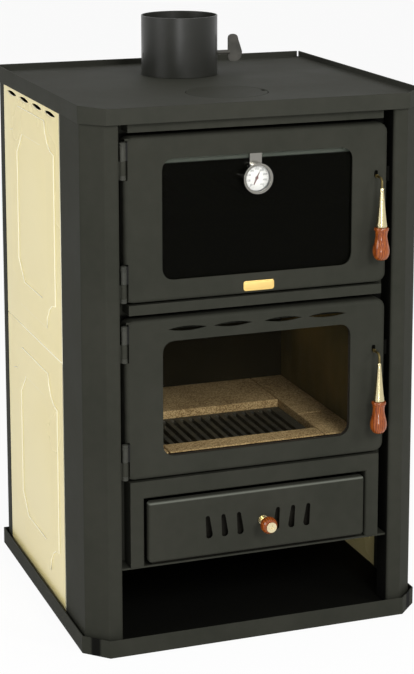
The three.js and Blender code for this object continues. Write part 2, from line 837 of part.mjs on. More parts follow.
function sidePanels() {
  const meshes = [];
  const lowerLines = [lowerEmbossBottomMargin + baseFloorHeight, lowerPanelTop - lowerEmbossTopMargin];
  const upperBottom = lowerPanelTop + panelSeam;
  const upperLines = [upperBottom + upperEmbossBottomMargin, lipBottom - embossTopMargin];
  for (const [word, side] of [['left', -1], ['right', 1]]) {
    meshes.push(
      sidePanel(`${word}_lower_panel`, side, frameBottom, lowerPanelTop, ...lowerLines, false),
      sidePanel(`${word}_upper_panel`, side, upperBottom, frameTop, ...upperLines, true),
    );
  }
  return meshes;
}

function backPanel() {
  const back = bodyBack - postSheet - seatGap;
  const half = bodyHalf - backPanelInset;
  const body = box(-half, half, back - backSheet, back, frameBottom, frameTop);
  const tools = [];
  for (let i = 0; i < backVentCount; i += 1) {
    const x = (i - (backVentCount - 1) / 2) * backVentPitch;
    const slot = lens(x, lipBottom - ventBelowLip, ventLength, ventHeight);
    tools.push(frontPrism(slot, back - backSheet - overrun, back + overrun, lensSteps));
  }
  return piece('back_panel', blackSteel, cut(body, tools));
}

// Front plate behind the doors, with its oven, fire and ash openings
function frontPlate() {
  const half = postInner + frontPlateLap;
  const body = box(-half, half, plateFront, plateBack, apronBottom, frameTop);
  const openings = [
    rectangle(-ovenHalfWidth, ovenHalfWidth, ovenFloor, ovenFloor + ovenHeight),
    rectangle(-fireOpeningHalfWidth, fireOpeningHalfWidth, fireOpeningBottom,
      fireOpeningBottom + fireOpeningHeight),
    rectangle(-drawerBoxHalfWidth - drawerOpeningGap, drawerBoxHalfWidth + drawerOpeningGap,
      ceilingBottom, apronBottom + drawerBoxHeight + drawerOpeningGap),
  ];
  const tools = openings.map((shape) => frontPrism(shape, plateFront - overrun, plateBack + overrun));
  return piece('front_plate', darkSteel, cut(body, tools));
}

// A rail across the face: a folded pan, open towards the front plate
function rail(name, bottom, top) {
  const body = box(-railHalf, railHalf, railFront, returnBack, bottom, top);
  const hollow = box(-railHalf + railSheet, railHalf - railSheet, railFront + railSheet,
    returnBack + overrun, bottom + railSheet, top - railSheet);
  return piece(name, darkSteel, cut(body, [hollow]));
}

// Apron round the ash drawer: a pan whose opening has rolled edges and no sill
function drawerApron() {
  const body = box(-railHalf, railHalf, railFront, returnBack, apronBottom, apronTop);
  const opening = () => rectangle(-apronOpeningHalfWidth, apronOpeningHalfWidth,
    apronBottom - apronHeight, apronBottom + apronOpeningHeight);
  const through = rolledCutter(opening(), apronRoll, railFront, returnBack + overrun);
  const aroundIt = rolledCutter(opening(), apronRoll - railSheet, railFront + railSheet,
    returnBack + overrun);
  const hollow = box(-railHalf + railSheet, railHalf - railSheet, railFront + railSheet,
    returnBack + overrun, apronBottom + railSheet, apronTop - railSheet);
  return piece('drawer_apron', darkSteel, cut(body, [through, hollow.subtract(aroundIt)]));
}

// Ceiling of the log bay; its narrow front part lies between the posts, under the drawer
function bayCeiling() {
  const half = ledgeOuter - postSheet - seatGap;
  const frontHalf = postInner - panelGap;
  const back = bodyBack - postSheet - backSheet - seatGap * 2;
  const plan = polygon([
    [-half, back], [-half, plateFront], [-frontHalf, plateFront], [-frontHalf, railFront + railSheet],
    [frontHalf, railFront + railSheet], [frontHalf, plateFront], [half, plateFront], [half, back],
  ]);
  return piece('bay_ceiling', blackSteel, planPrism(plan, ceilingBottom, ceilingTop));
}

// Welded shell round the fire and the oven: two sides and a back
function innerShell() {
  const plan = foldedPlan([
    [shellHalfWidth, insideFront], [shellHalfWidth, shellBack], [-shellHalfWidth, shellBack],
    [-shellHalfWidth, insideFront],
  ], shellThickness);
  return piece('inner_shell', blackSteel, planPrism(plan, apronBottom, frameTop));
}

// Oven: a box open at the front, with a runner on each side for the rack
function ovenBox() {
  const ceiling = ovenFloor + ovenHeight;
  const outside = box(-ovenHalfWidth - ovenWall, ovenHalfWidth + ovenWall, insideFront,
    ovenBack + ovenWall, ovenFloor - ovenWall, ceiling + ovenWall);
  const inside = box(-ovenHalfWidth, ovenHalfWidth, insideFront - overrun, ovenBack, ovenFloor, ceiling);
  const bodies = [cut(outside, [inside])];
  const [front, end] = [insideFront + runnerEndMargin, ovenBack - runnerEndMargin];
  const [low, high] = [ovenFloor + runnerRise, ovenFloor + runnerRise + runnerThickness];
  const [near, far] = [ovenHalfWidth - runnerWidth, ovenHalfWidth + weld];
  bodies.push(box(near, far, front, end, low, high), box(-far, -near, front, end, low, high));
  return piece('oven_box', blackSteel, joined(bodies));
}

function ovenRack() {
  const half = ovenHalfWidth - rackSideGap;
  const front = insideFront + rackFrontGap;
  const back = ovenBack - runnerEndMargin;
  const bottom = ovenFloor + runnerRise + runnerThickness + seatGap;
  const top = bottom + rackBar;
  const pitch = (half * 2 - rackBar) / (rackBarCount - 1);
  const tools = [];
  for (let i = 0; i < rackBarCount - 1; i += 1) {
    const left = -half + rackBar + pitch * i;
    tools.push(box(left, left + pitch - rackBar, front + rackBar, back - rackBar,
      bottom - overrun, top + overrun));
  }
  return piece('oven_rack', steel, cut(box(-half, half, front, back, bottom, top), tools));
}

// Shelf under the firebricks, open under the grate so that the ash falls into the drawer
function grateShelf() {
  const half = shellInner - seatGap;
  const body = box(-half, half, insideFront, fireBackEnd, shelfBottom, shelfTop);
  const hole = box(-grateHalfWidth + grateRim, grateHalfWidth - grateRim, grateFront + grateRim,
    grateBack - grateRim, shelfBottom - overrun, shelfTop + overrun);
  return piece('grate_shelf', blackSteel, cut(body, [hole]));
}

function fireboxBack() {
  const half = shellInner - seatGap;
  return piece('firebox_back', blackSteel, box(-half, half, fireBackFront, fireBackEnd,
    brickBottom, brickBottom + fireBackHeight));
}

// Six firebricks round the grate
function firebricks() {
  const [near, far] = [grateHalfWidth + brickJoint, shellInner - seatGap];
  const middle = bricksFront + frontPairDepth;
  const places = {
    firebrick_front: [-grateHalfWidth, grateHalfWidth, bricksFront, grateFront - brickJoint],
    firebrick_rear: [-grateHalfWidth, grateHalfWidth, grateBack + brickJoint, bricksBack],
    firebrick_left_front: [-far, -near, bricksFront, middle],
    firebrick_left_rear: [-far, -near, middle + brickJoint, bricksBack],
    firebrick_right_front: [near, far, bricksFront, middle],
    firebrick_right_rear: [near, far, middle + brickJoint, bricksBack],
  };
  return Object.entries(places).map(([name, [left, right, front, back]]) => (
    piece(name, firebrick, box(left, right, front, back, brickBottom, brickBottom + brickThickness))));
}

// Grate with slots from front to back
function grate() {
  const half = grateHalfWidth - brickJoint;
  const body = box(-half, half, grateFront, grateBack, brickBottom, brickBottom + grateThickness);
  const pitch = grateBar + grateGap;
  const tools = [];
  for (let i = 0; i < grateGapCount; i += 1) {
    const x = (i - (grateGapCount - 1) / 2) * pitch;
    tools.push(box(x - grateGap / 2, x + grateGap / 2, grateFront + grateRim, grateBack - grateRim,
      brickBottom - overrun, brickBottom + grateThickness + overrun));
  }
  return piece('grate', castIron, cut(body, tools));
}

// A drop-shaped slot with round ends: upright on its outer side, leaning on its inner one
function taperedSlot(side, outer, low, high) {
  const narrow = { x: outer - drawerVentTopRadius, z: high - drawerVentTopRadius, radius: drawerVentTopRadius };
  const wide = { x: outer - drawerVentBottomRadius, z: low + drawerVentBottomRadius,
    radius: drawerVentBottomRadius };
  const lean = Math.atan2(wide.z - narrow.z, wide.x - narrow.x) * 2 + Math.PI * 2;
  const points = [];
  for (const [end, from, to] of [[narrow, 0, lean], [wide, lean, Math.PI * 2]]) {
    for (let i = 0; i <= ventEndSteps; i += 1) {
      const angle = from + (to - from) * i / ventEndSteps;
      points.push([side * (end.x + end.radius * Math.cos(angle)), end.z + end.radius * Math.sin(angle)]);
    }
  }
  points.pop();
  return polygon(side > 0 ? points : points.reverse());
}

// Ash drawer: open box, vented front, ball knob on a long brass ferrule
function ashDrawer() {
  const bottom = ceilingTop + drawerFrontRise;
  const top = bottom + drawerFrontHeight;
  const half = drawerFrontHalfWidth;
  const slab = roundedSlab(-half, half, bottom, top, drawerCorner, drawerEdge, drawerFace,
    drawerFace + drawerFrontDepth);
  const hollow = roundedSlab(-half + drawerSheet, half - drawerSheet, bottom + drawerSheet,
    top - drawerSheet, drawerCorner - drawerSheet, drawerEdge - drawerSheet,
    drawerFace + drawerSheet, drawerFace + drawerFrontDepth + overrun);
  const tools = [hollow];
  const [ventLow, ventHigh] = [bottom + drawerVentRise, bottom + drawerVentRise + drawerVentHeight];
  for (let i = 0; i < drawerVentCount; i += 1) {
    const middle = drawerVentFirst + drawerVentPitch * i;
    for (const side of [-1, 1]) {
      const slot = taperedSlot(side, middle + drawerVentBottomRadius, ventLow, ventHigh);
      tools.push(frontPrism(slot, drawerFace - overrun, drawerFace + drawerFrontDepth + overrun));
    }
  }
  const shankHole = knobShankRadius + seatGap;
  tools.push(rodDeep(shankHole, knobOffset, drawerFace - overrun, drawerFace + drawerFrontDepth,
    knobZ));
  const boxBody = box(-drawerBoxHalfWidth, drawerBoxHalfWidth, drawerBoxFront,
    drawerBoxFront + drawerBoxLength, apronBottom, apronBottom + drawerBoxHeight);
  const boxHollow = box(-drawerBoxHalfWidth + drawerSheet, drawerBoxHalfWidth - drawerSheet,
    drawerBoxFront + drawerSheet, drawerBoxFront + drawerBoxLength - drawerSheet,
    apronBottom + drawerSheet, apronBottom + drawerBoxHeight + overrun);
  const group = new THREE.Group();
  group.add(
    piece('ash_drawer_front', darkSteel, cut(slab, tools)),
    piece('ash_drawer_box', blackSteel, cut(boxBody, [boxHollow])),
    ...drawerKnob(shankHole),
  );
  return group;
}

function drawerKnob(bore) {
  const centre = drawerFace - knobReach;
  const ball = [];
  const from = Math.atan2(-knobFlat, knobHeadRadius);
  const seat = Math.sqrt(knobRadius ** 2 - ferruleRadius ** 2);
  const to = Math.atan2(seat, ferruleRadius);
  for (let i = 0; i <= ballSteps; i += 1) {
    const angle = from + (to - from) * i / ballSteps;
    ball.push([knobRadius * Math.cos(angle), centre + knobRadius * Math.sin(angle)]);
  }
  ball.unshift([bore, centre - knobFlat]);
  ball.push([bore, centre + seat], ball[0]);
  const headBack = centre - knobFlat - seatGap;
  const screw = [
    [0, headBack - knobHeadThickness], [knobHeadRadius, headBack - knobHeadThickness],
    [knobHeadRadius, headBack], [knobShankRadius, headBack],
    [knobShankRadius, drawerFace + knobNutReach], [0, drawerFace + knobNutReach],
  ];
  const collarFront = centre + seat + seatGap;
  const footFront = drawerFace - seatGap - ferruleFootThickness;
  const ferrule = [
    [bore, collarFront], [ferruleRadius, collarFront], [ferruleRadius, footFront],
    [ferruleFootRadius, footFront], [ferruleFootRadius, drawerFace - seatGap],
    [bore, drawerFace - seatGap], [bore, collarFront],
  ];
  return [
    piece('drawer_knob_ball', wood, turnedDeep(ball, knobOffset, knobZ, gripPanes)),
    piece('drawer_knob_screw', paleBrass, turnedDeep(screw, knobOffset, knobZ, gripPanes)),
    piece('drawer_knob_ferrule', brass, turnedDeep(ferrule, knobOffset, knobZ, gripPanes)),
  ];
}

// A door's outline of the window, grown by a margin
function windowOutline(door, margin) {
  const half = doorWidth / 2 - windowSideMargin + margin;
  return roundedRectangle(-half, half, door.windowBottom - margin, door.windowTop + margin,
    windowCorner + margin);
}

// Cuts and blocks of a leaf at its hinges
function hingeNotches(doorHeight) {
  const edge = -doorWidth / 2;
  const blocks = [];
  const notches = [];
  for (const rise of hingeRises(doorHeight)) {
    const [low, high] = [rise - hingeNotchGap, rise + hingeHeight + hingeNotchGap];
    const wall = hingeBlockWall;
    blocks.push(box(edge + doorSheet - weld, edge + hingeNotch + wall, doorSheet - weld,
      hingeNotchDepth + wall, Math.max(low - wall, doorSheet), high + wall));
    notches.push(box(edge - overrun, edge + hingeNotch, -overrun, hingeNotchDepth, low, high));
  }
  return { blocks, notches };
}

// Upright slot in a door's face, with the latch spindle turning in its lower end
function spindleSlot(rise) {
  const radius = spindleRadius + turnGap;
  return roundedRectangle(latchX - radius, latchX + radius, rise - radius,
    rise + spindleSlotRise + radius, radius);
}

// Door leaf in its own frame: x from its middle, y from its face, z from its bottom edge
function doorLeaf(door) {
  const half = doorWidth / 2;
  const inside = doorDepth - doorFlange;
  const slab = roundedSlab(-half, half, 0, door.height, doorCorner, doorEdge, 0, doorDepth);
  const hollow = roundedSlab(-half + doorSheet, half - doorSheet, doorSheet, door.height - doorSheet,
    doorCorner - doorSheet, doorEdge - doorSheet, doorSheet, inside);
  const { blocks, notches } = hingeNotches(door.height);
  const lap = gasketMargin / 2;
  const rear = rectangle(-door.openingHalf - lap, door.openingHalf + lap,
    door.openingBottom - lap, door.openingTop + lap);
  const slotTop = door.latchRise + tongueHeight / 2 + panelGap;
  const tongueSweep = tongueReach() - tongueHeight / 2;
  const tools = [
    frontPrism(rear, inside - overrun, doorDepth + overrun),
    frontPrism(windowOutline(door, 0), -overrun, doorSheet + overrun),
    frontPrism(spindleSlot(door.latchRise), -overrun, doorSheet + overrun),
    box(half - doorSheet - overrun, half + overrun, tongueDepth - panelGap,
      tongueDepth + tongueThickness + panelGap, door.latchRise - tongueSweep, slotTop),
    ...notches,
  ];
  for (let i = 0; i < door.slotPairs; i += 1) {
    for (const side of [-1, 1]) {
      const x = side * (doorSlotFirst + doorSlotPitch * i);
      const slot = lens(x, door.height - doorSlotBelowTop, doorSlotLength, doorSlotHeight);
      tools.push(frontPrism(slot, -overrun, doorSheet + overrun, lensSteps));
    }
  }
  const shell = joined([cut(slab, [hollow]), ...blocks]);
  return piece(`${door.name}_leaf`, darkSteel, cut(shell, tools));
}

// How far the latch tongue reaches from its spindle, ending just clear of the keeper
function tongueReach() {
  return latchInset + doorSideGap - keeperReach - tongueGap;
}

// Glass and the channel frame that holds it behind the window
function doorGlass(door) {
  const frameFront = doorSheet + seatGap;
  const glassFront = frameFront + glassFrameSheet + seatGap;
  const glassBack = glassFront + glassThickness;
  const frameBack = glassBack + seatGap + glassFrameSheet;
  const pane = frontPrism(windowOutline(door, glassMargin), glassFront, glassBack);
  const ring = ringOf(windowOutline(door, glassFrameMargin), windowOutline(door, glassFrameLipMargin));
  const groove = frontPrism(windowOutline(door, glassMargin + seatGap), glassFront - seatGap,
    glassBack + seatGap);
  const tools = [groove];
  const bodies = [frontPrism(ring, frameFront, frameBack)];
  if (door.gauge) {
    const reach = bracketWidth / 2 + seatGap;
    const half = doorWidth / 2 - windowSideMargin + glassFrameMargin / 2;
    bodies.push(box(-half, half, glassBack + seatGap, frameBack, door.windowTop - glassStripHeight,
      door.windowTop + glassFrameMargin / 2));
    tools.push(box(gaugeOffset - reach, gaugeOffset + reach, frameFront - overrun, glassFront,
      door.windowTop - overrun, door.windowTop + glassFrameMargin + overrun));
  }
  return [
    piece(`${door.name}_glass`, glass, pane),
    piece(`${door.name}_glass_frame`, blackSteel, cut(joined(bodies), tools)),
  ];
}

// Rope gasket between a door's rear flange and the front plate
function doorGasket(door) {
  const outline = (margin) => roundedRectangle(-door.openingHalf - margin, door.openingHalf + margin,
    door.openingBottom - margin, door.openingTop + margin, margin);
  const ring = ringOf(outline(gasketMargin + gasketWidth), outline(gasketMargin));
  return piece(`${door.name}_gasket`, rope, frontPrism(ring, doorDepth + seatGap,
    plateFront - doorFront - seatGap));
}

// The upper halves of the two hinges, which lift off the pins with the door
function doorHinges(door) {
  const edge = -doorWidth / 2;
  const words = ['lower', 'upper'];
  return hingeRises(door.height).map((rise, i) => {
    const bottom = rise + hingeHeight / 2 + seatGap;
    const top = rise + hingeHeight;
    const armHalf = hingeArmThickness / 2;
    const barrel = rodUpright(hingeRadius, hingeX, -hingeAxisProud, bottom, top, barrelPanes);
    const arm = box(hingeX, edge + hingeNotch - seatGap, -armHalf, armHalf, bottom, top);
    const bore = rodUpright(hingePinRadius + turnGap, hingeX, -hingeAxisProud, bottom - overrun,
      top - hingeBoreCap, barrelPanes);
    return piece(`${door.name}_hinge_${words[i]}`, darkSteel, cut(joined([barrel, arm]), [bore]));
  });
}

function doorBadge() {
  const half = badgeWidth / 2;
  const plan = roundedRectangle(-half, half, badgeRise - badgeHeight / 2, badgeRise + badgeHeight / 2,
    badgeCorner);
  return piece('oven_badge', brass, frontPrism(plan, -seatGap - badgeThickness, -seatGap));
}

// Thermometer: case on its bracket, dial, needle and lens
function thermometer(door) {
  const [x, z] = [gaugeOffset, gaugeRise];
  const inner = gaugeRadius - gaugeWall;
  const mouth = gaugeRadius - gaugeLipWidth;
  const floor = gaugeBack - gaugeWall;
  const lipBack = gaugeLipThickness - gaugeProud;
  const cup = turnedDeep([
    [mouth, -gaugeProud], [gaugeRadius, -gaugeProud], [gaugeRadius, gaugeBack], [0, gaugeBack],
    [0, floor], [inner, floor], [inner, lipBack], [mouth, lipBack], [mouth, -gaugeProud],
  ], x, z, gaugePanes);
  const strip = box(x - bracketWidth / 2, x + bracketWidth / 2, gaugeBack - seatGap,
    gaugeBack - seatGap + bracketThickness, z - bracketWidth / 2, door.windowTop + bracketLap);
  const dialFront = floor - seatGap - dialThickness;
  const lensFront = lipBack + seatGap;
  const disc = inner - seatGap;
  const meshes = [
    piece('thermometer_case', chrome, joined([cup, strip])),
    piece('thermometer_dial', dialWhite, rodDeep(disc, x, dialFront, floor - seatGap, z, gaugePanes)),
    piece('thermometer_lens', glass,
      rodDeep(disc, x, lensFront, lensFront + gaugeLensThickness, z, gaugePanes)),
  ];
  const pointer = polygon([
    [-needleWidth / 2, 0], [0, needleLength], [needleWidth / 2, 0],
    [needleTailWidth / 2, -needleTail], [-needleTailWidth / 2, -needleTail],
  ]);
  const hub = rodDeep(needleHubRadius, 0, -needleThickness, 0, 0, rodPanes);
  const needle = piece('thermometer_needle', needleBrown,
    joined([frontPrism(pointer, -needleThickness, 0), hub]));
  needle.position.set(x, dialFront - seatGap, z);
  needle.rotation.y = needleAngle;
  return [...meshes, needle];
}

// Latch in its own frame, with the spindle's axis along Y through the origin
function latch(name) {
  const reach = tongueReach();
  const curve = new THREE.CubicBezierCurve3(
    new THREE.Vector3(0, -spindleFront, 0), new THREE.Vector3(0, -stemReach, 0),
    new THREE.Vector3(0, -stemReach, 0), new THREE.Vector3(0, -stemReach, -stemDrop));
  const section = new THREE.Shape().absarc(0, 0, stemRadius, 0, Math.PI * 2);
  const bend = solidOf(new THREE.ExtrudeGeometry(section, {
    steps: stemSteps,
    extrudePath: curve,
    curveSegments: stemPanes,
  }));
  const tangEnd = -stemDrop - coneLength - gripLength + tangEndGap;
  const back = spindleLength - spindleFront;
  const washerFront = doorSheet + seatGap;
  const halfTongue = tongueHeight / 2;
  const spindle = joined([
    rodDeep(spindleRadius, 0, -spindleFront - weld, back, 0, gripPanes),
    rodDeep(latchWasherRadius, 0, washerFront, washerFront + latchWasherThickness, 0, gripPanes),
    bend,
    rodUpright(tangRadius, 0, -stemReach, tangEnd, weld - stemDrop, rodPanes),
    box(-halfTongue, reach, tongueDepth, tongueDepth + tongueThickness, -halfTongue, halfTongue),
  ]);
  const coneTop = -stemDrop - seatGap;
  const coneBottom = -stemDrop - coneLength;
  const bore = tangRadius + seatGap;
  const cone = turnedUpright([
    [bore, coneBottom], [coneBottomRadius, coneBottom], [coneTopRadius, coneTop], [bore, coneTop],
    [bore, coneBottom],
  ], 0, -stemReach, gripPanes);
  const gripTop = coneBottom - seatGap;
  const level = (share) => gripTop - gripLength * share;
  const boreEnd = tangEnd - seatGap;
  const grip = turnedUpright([
    [0, level(1)], [gripEndRadius, level(1)], [gripBulbRadius, level(gripShares.tail)],
    [gripBulbRadius, level(gripShares.bulb)], [gripNeckRadius, level(gripShares.neck)],
    [gripCollarRadius, level(gripShares.collar)], [gripCollarRadius, gripTop], [bore, gripTop],
    [bore, boreEnd], [0, boreEnd],
  ], 0, -stemReach, gripPanes);
  return [
    piece(`${name}_spindle`, steel, spindle),
    piece(`${name}_ferrule`, paleBrass, cone),
    piece(`${name}_grip`, wood, grip),
  ];
}

// One door with everything that swings with it
function doorGroup(door, bottom, extras) {
  const group = new THREE.Group();
  group.position.set(0, doorFront, bottom);
  group.add(doorLeaf(door), ...doorGlass(door), doorGasket(door), ...doorHinges(door), ...extras);
  const handle = new THREE.Group();
  handle.position.set(latchX, 0, door.latchRise);
  handle.add(...latch(door.latchName));
  group.add(handle);
  return group;
}

const ovenDoor = {
  name: 'oven_door',
  latchName: 'oven_latch',
  height: ovenDoorHeight,
  windowBottom: ovenWindowBottomMargin,
  windowTop: ovenDoorHeight - ovenWindowTopMargin,
  openingHalf: ovenHalfWidth,
  openingBottom: ovenFloor - ovenDoorBottom,
  openingTop: ovenFloor - ovenDoorBottom + ovenHeight,
  latchRise: ovenLatchRise,
  slotPairs: 0,
  gauge: true,
};

const fireDoor = {
  name: 'fire_door',
  latchName: 'fire_latch',
  height: fireDoorHeight,
  windowBottom: fireWindowBottomMargin,
  windowTop: fireDoorHeight - fireWindowTopMargin,
  openingHalf: fireOpeningHalfWidth,
  openingBottom: fireOpeningRise,
  openingTop: fireOpeningRise + fireOpeningHeight,
  latchRise: fireLatchRise,
  slotPairs: 2,
  gauge: false,
};

const stove = new THREE.Group();
stove.add(
  baseTray(),
  topPlate(),
  hotplateLid(),
  fluePipe(),
  ...damper(),
  ...posts(),
  ...sidePanels(),
  backPanel(),
  frontPlate(),
  rail('top_rail', topRailBottom, frameTop),
  rail('middle_rail', middleRailBottom, middleRailTop),
  drawerApron(),
  bayCeiling(),
  innerShell(),
  ovenBox(),
  ovenRack(),
  grateShelf(),
  fireboxBack(),
  ...firebricks(),
  grate(),
  ashDrawer(),
  doorGroup(ovenDoor, ovenDoorBottom, [doorBadge(), ...thermometer(ovenDoor)]),
  doorGroup(fireDoor, fireDoorBottom, []),
);
stove.position.y = boxShift;

const model = new THREE.Group();
model.add(stove);

export default model;
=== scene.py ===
import json
import math

import bpy
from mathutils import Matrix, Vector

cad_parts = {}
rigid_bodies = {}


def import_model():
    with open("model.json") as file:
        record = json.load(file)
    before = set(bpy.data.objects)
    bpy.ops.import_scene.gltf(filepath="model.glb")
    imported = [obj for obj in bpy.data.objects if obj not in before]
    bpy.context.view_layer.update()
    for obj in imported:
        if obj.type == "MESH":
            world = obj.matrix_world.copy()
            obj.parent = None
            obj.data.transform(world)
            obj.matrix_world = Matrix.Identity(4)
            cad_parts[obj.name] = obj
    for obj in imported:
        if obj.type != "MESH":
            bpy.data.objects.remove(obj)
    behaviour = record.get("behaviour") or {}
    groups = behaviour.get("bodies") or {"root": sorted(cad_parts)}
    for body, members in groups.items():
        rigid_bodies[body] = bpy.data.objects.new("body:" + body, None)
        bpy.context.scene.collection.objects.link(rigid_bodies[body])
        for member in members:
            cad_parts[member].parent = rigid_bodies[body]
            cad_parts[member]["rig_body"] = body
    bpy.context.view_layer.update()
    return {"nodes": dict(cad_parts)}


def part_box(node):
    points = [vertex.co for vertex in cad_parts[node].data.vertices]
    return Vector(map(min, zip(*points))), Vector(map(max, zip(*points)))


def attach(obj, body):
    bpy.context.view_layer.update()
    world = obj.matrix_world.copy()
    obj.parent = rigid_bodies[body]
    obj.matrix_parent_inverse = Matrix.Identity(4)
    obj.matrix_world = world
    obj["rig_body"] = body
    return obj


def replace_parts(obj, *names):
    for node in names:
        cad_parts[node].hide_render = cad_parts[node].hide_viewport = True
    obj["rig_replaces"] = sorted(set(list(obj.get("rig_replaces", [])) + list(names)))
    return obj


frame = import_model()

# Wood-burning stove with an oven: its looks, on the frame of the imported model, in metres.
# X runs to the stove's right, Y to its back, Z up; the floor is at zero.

nodes = frame["nodes"]
mm = 0.001
weld = 0.01 * mm
near = 0.05 * mm
flat_angle = math.radians(0.4)
edge_angle = math.radians(35)
hinge_radius = 4.5 * mm
line_height = 1.7 * mm
line_width = 5 * mm
press_bend = 1.2 * mm
edge_roll = 2.6 * mm
dial_start = -140
dial_sweep = 280
dial_figures = 9
marks_a_figure = 4
figure_step = 50
figure_size = 4.4 * mm
figure_inset = 8 * mm
mark_inset = 2.6 * mm
ink_depth = 0.06 * mm
upright = math.radians(90), 0, 0


def seen(red, green, blue):
    """A colour as it looks, 0 to 255, turned into what a shader wants."""
    def plain(value):
        value = value / 255
        return value / 12.92 if value <= 0.04045 else ((value + 0.055) / 1.055) ** 2.4
    return (plain(red), plain(green), plain(blue), 1.0)


# Colours of the stove's finishes
paint_grey = seen(43, 44, 38)
paint_lifted = seen(52, 52, 46)
# Lighter edges: partly rubbed wear, partly a painted highlight
rubbed_and_highlit_grey = seen(84, 83, 76)
# Painted highlight on the drawer front's top bend
painted_highlight_grey = seen(98, 100, 92)
flue_grey = seen(24, 25, 20)
flue_lifted = seen(31, 31, 26)
# Painted shade: the near-black of the bay, gaps and slots where no light reaches
painted_shade_black = seen(14, 14, 12)
bronze_dull = seen(104, 92, 58)
inner_black = seen(30, 27, 22)
inner_brown = seen(66, 50, 30)
soot_black = seen(16, 15, 9)
soot_olive = seen(48, 42, 22)
smoke_olive = seen(62, 55, 30)
smoke_brown = seen(126, 103, 54)
enamel_cream = seen(232, 217, 156)
enamel_deep = seen(222, 206, 143)
# Painted highlight on the bends and rolled edges of the enamel panels
painted_highlight_cream = seen(255, 250, 222)
brick_light = seen(222, 192, 138)
brick_dark = seen(122, 95, 56)
brass_yellow = seen(236, 204, 128)
brass_pale = seen(200, 188, 148)
brass_tarnish = seen(190, 150, 84)
bronze_tarnish = seen(66, 58, 34)
frame_grey = seen(112, 120, 108)
frame_lifted = seen(124, 130, 118)
steel_grey = seen(158, 155, 150)
chrome_grey = seen(140, 138, 131)
wood_light = seen(186, 102, 36)
wood_dark = seen(96, 36, 8)
iron_grey = seen(70, 66, 52)
rope_grey = seen(150, 146, 136)
dial_white = seen(244, 243, 238)
print_black = seen(42, 42, 44)
needle_brown = seen(98, 36, 28)
white = seen(255, 255, 255)


# Shared effects, each a group of nodes that puts out how a surface changes from place to place

def new_group(name, inputs, outputs):
    group = bpy.data.node_groups.new(name, "ShaderNodeTree")
    for label, kind, value in inputs:
        group.interface.new_socket(label, in_out="INPUT", socket_type=kind).default_value = value
    for label, kind in outputs:
        group.interface.new_socket(label, in_out="OUTPUT", socket_type=kind)
    return group, group.nodes.new("NodeGroupInput"), group.nodes.new("NodeGroupOutput")


def put(tree, kind, options=None, **values):
    """A node in a tree, with its options and its plain inputs set."""
    node = tree.nodes.new(kind)
    for option, value in (options or {}).items():
        setattr(node, option, value)
    for label, value in values.items():
        node.inputs[label.replace("_", " ")].default_value = value
    return node


def own_place(tree, stretch=None):
    """Where a point lies on its own piece, drawn out along each axis if asked."""
    place = tree.nodes.new("ShaderNodeTexCoord").outputs["Object"]
    if stretch is None:
        return place
    mapping = put(tree, "ShaderNodeMapping", Scale=stretch)
    tree.links.new(place, mapping.inputs["Vector"])
    return mapping.outputs["Vector"]


def along(tree):
    """How far a point of a piece lies along X, Y and Z."""
    apart = tree.nodes.new("ShaderNodeSeparateXYZ")
    tree.links.new(own_place(tree), apart.inputs["Vector"])
    return apart.outputs


def cloud(tree, scale, detail=3.0, stretch=None):
    node = put(tree, "ShaderNodeTexNoise", Scale=scale, Detail=detail)
    tree.links.new(own_place(tree, stretch), node.inputs["Vector"])
    return node.outputs["Fac"]


def spread(tree, value, low, high, to_low=0.0, to_high=1.0):
    node = put(tree, "ShaderNodeMapRange", From_Min=low, From_Max=high, To_Min=to_low, To_Max=to_high)
    tree.links.new(value, node.inputs["Value"])
    return node.outputs["Result"]


def sums(tree, operation, first, second):
    node = tree.nodes.new("ShaderNodeMath")
    node.operation = operation
    for socket, value in zip(node.inputs, (first, second)):
        if isinstance(value, (int, float)):
            socket.default_value = value
        else:
            tree.links.new(value, socket)
    return node.outputs["Value"]


def blended(tree, share, first, second):
    """One colour over another; each is a socket or a written colour."""
    node = put(tree, "ShaderNodeMix", {"data_type": "RGBA"})
    factor = next(s for s in node.inputs if s.name == "Factor" and s.type == "VALUE")
    if isinstance(share, (int, float)):
        factor.default_value = share
    else:
        tree.links.new(share, factor)
    for socket, value in zip([s for s in node.inputs if s.type == "RGBA"], (first, second)):
        if isinstance(value, tuple):
            socket.default_value = value
        else:
            tree.links.new(value, socket)
    return next(s for s in node.outputs if s.type == "RGBA")


def send(tree, leave, **results):
    for label, value in results.items():
        tree.links.new(value, leave.inputs[label])


def make_paint_group():
    """Matt stove paint: fine grain, cloudy patches, and lighter edges, partly rubbed wear and partly a
    painted highlight.
    """
    group, entry, leave = new_group("matt_paint", [
        ("Base", "NodeSocketColor", paint_grey), ("Lifted", "NodeSocketColor", paint_lifted),
        ("Rubbed and highlit", "NodeSocketColor", rubbed_and_highlit_grey), ("Rubbing and highlight", "NodeSocketFloat", 0.35),
        ("Roughness", "NodeSocketFloat", 0.6),
    ], [("Color", "NodeSocketColor"), ("Roughness", "NodeSocketFloat"), ("Height", "NodeSocketFloat")])
    grain = cloud(group, 1500.0, 2.0)
    patches = cloud(group, 7.0, 4.0)
    mottle = cloud(group, 60.0, 3.0)
    tone = sums(group, "ADD", sums(group, "MULTIPLY", spread(group, patches, 0.3, 0.7), 0.55),
                sums(group, "MULTIPLY", spread(group, mottle, 0.3, 0.7), 0.3))
    coat = blended(group, tone, entry.outputs["Base"], entry.outputs["Lifted"])
    # Convex edges lighter: partly rubbed wear, partly a painted highlight on the bends
    convexity = group.nodes.new("ShaderNodeNewGeometry").outputs["Pointiness"]
    worn_and_highlit = sums(group, "MULTIPLY", spread(group, convexity, 0.56, 0.66), entry.outputs["Rubbing and highlight"])
    broken = sums(group, "MULTIPLY", worn_and_highlit, spread(group, mottle, 0.35, 0.6))
    colour = blended(group, broken, coat, entry.outputs["Rubbed and highlit"])
    roughness = sums(group, "ADD", entry.outputs["Roughness"], spread(group, patches, 0.3, 0.7, -0.06, 0.06))
    send(group, leave, Color=colour, Roughness=roughness, Height=grain)
    return group


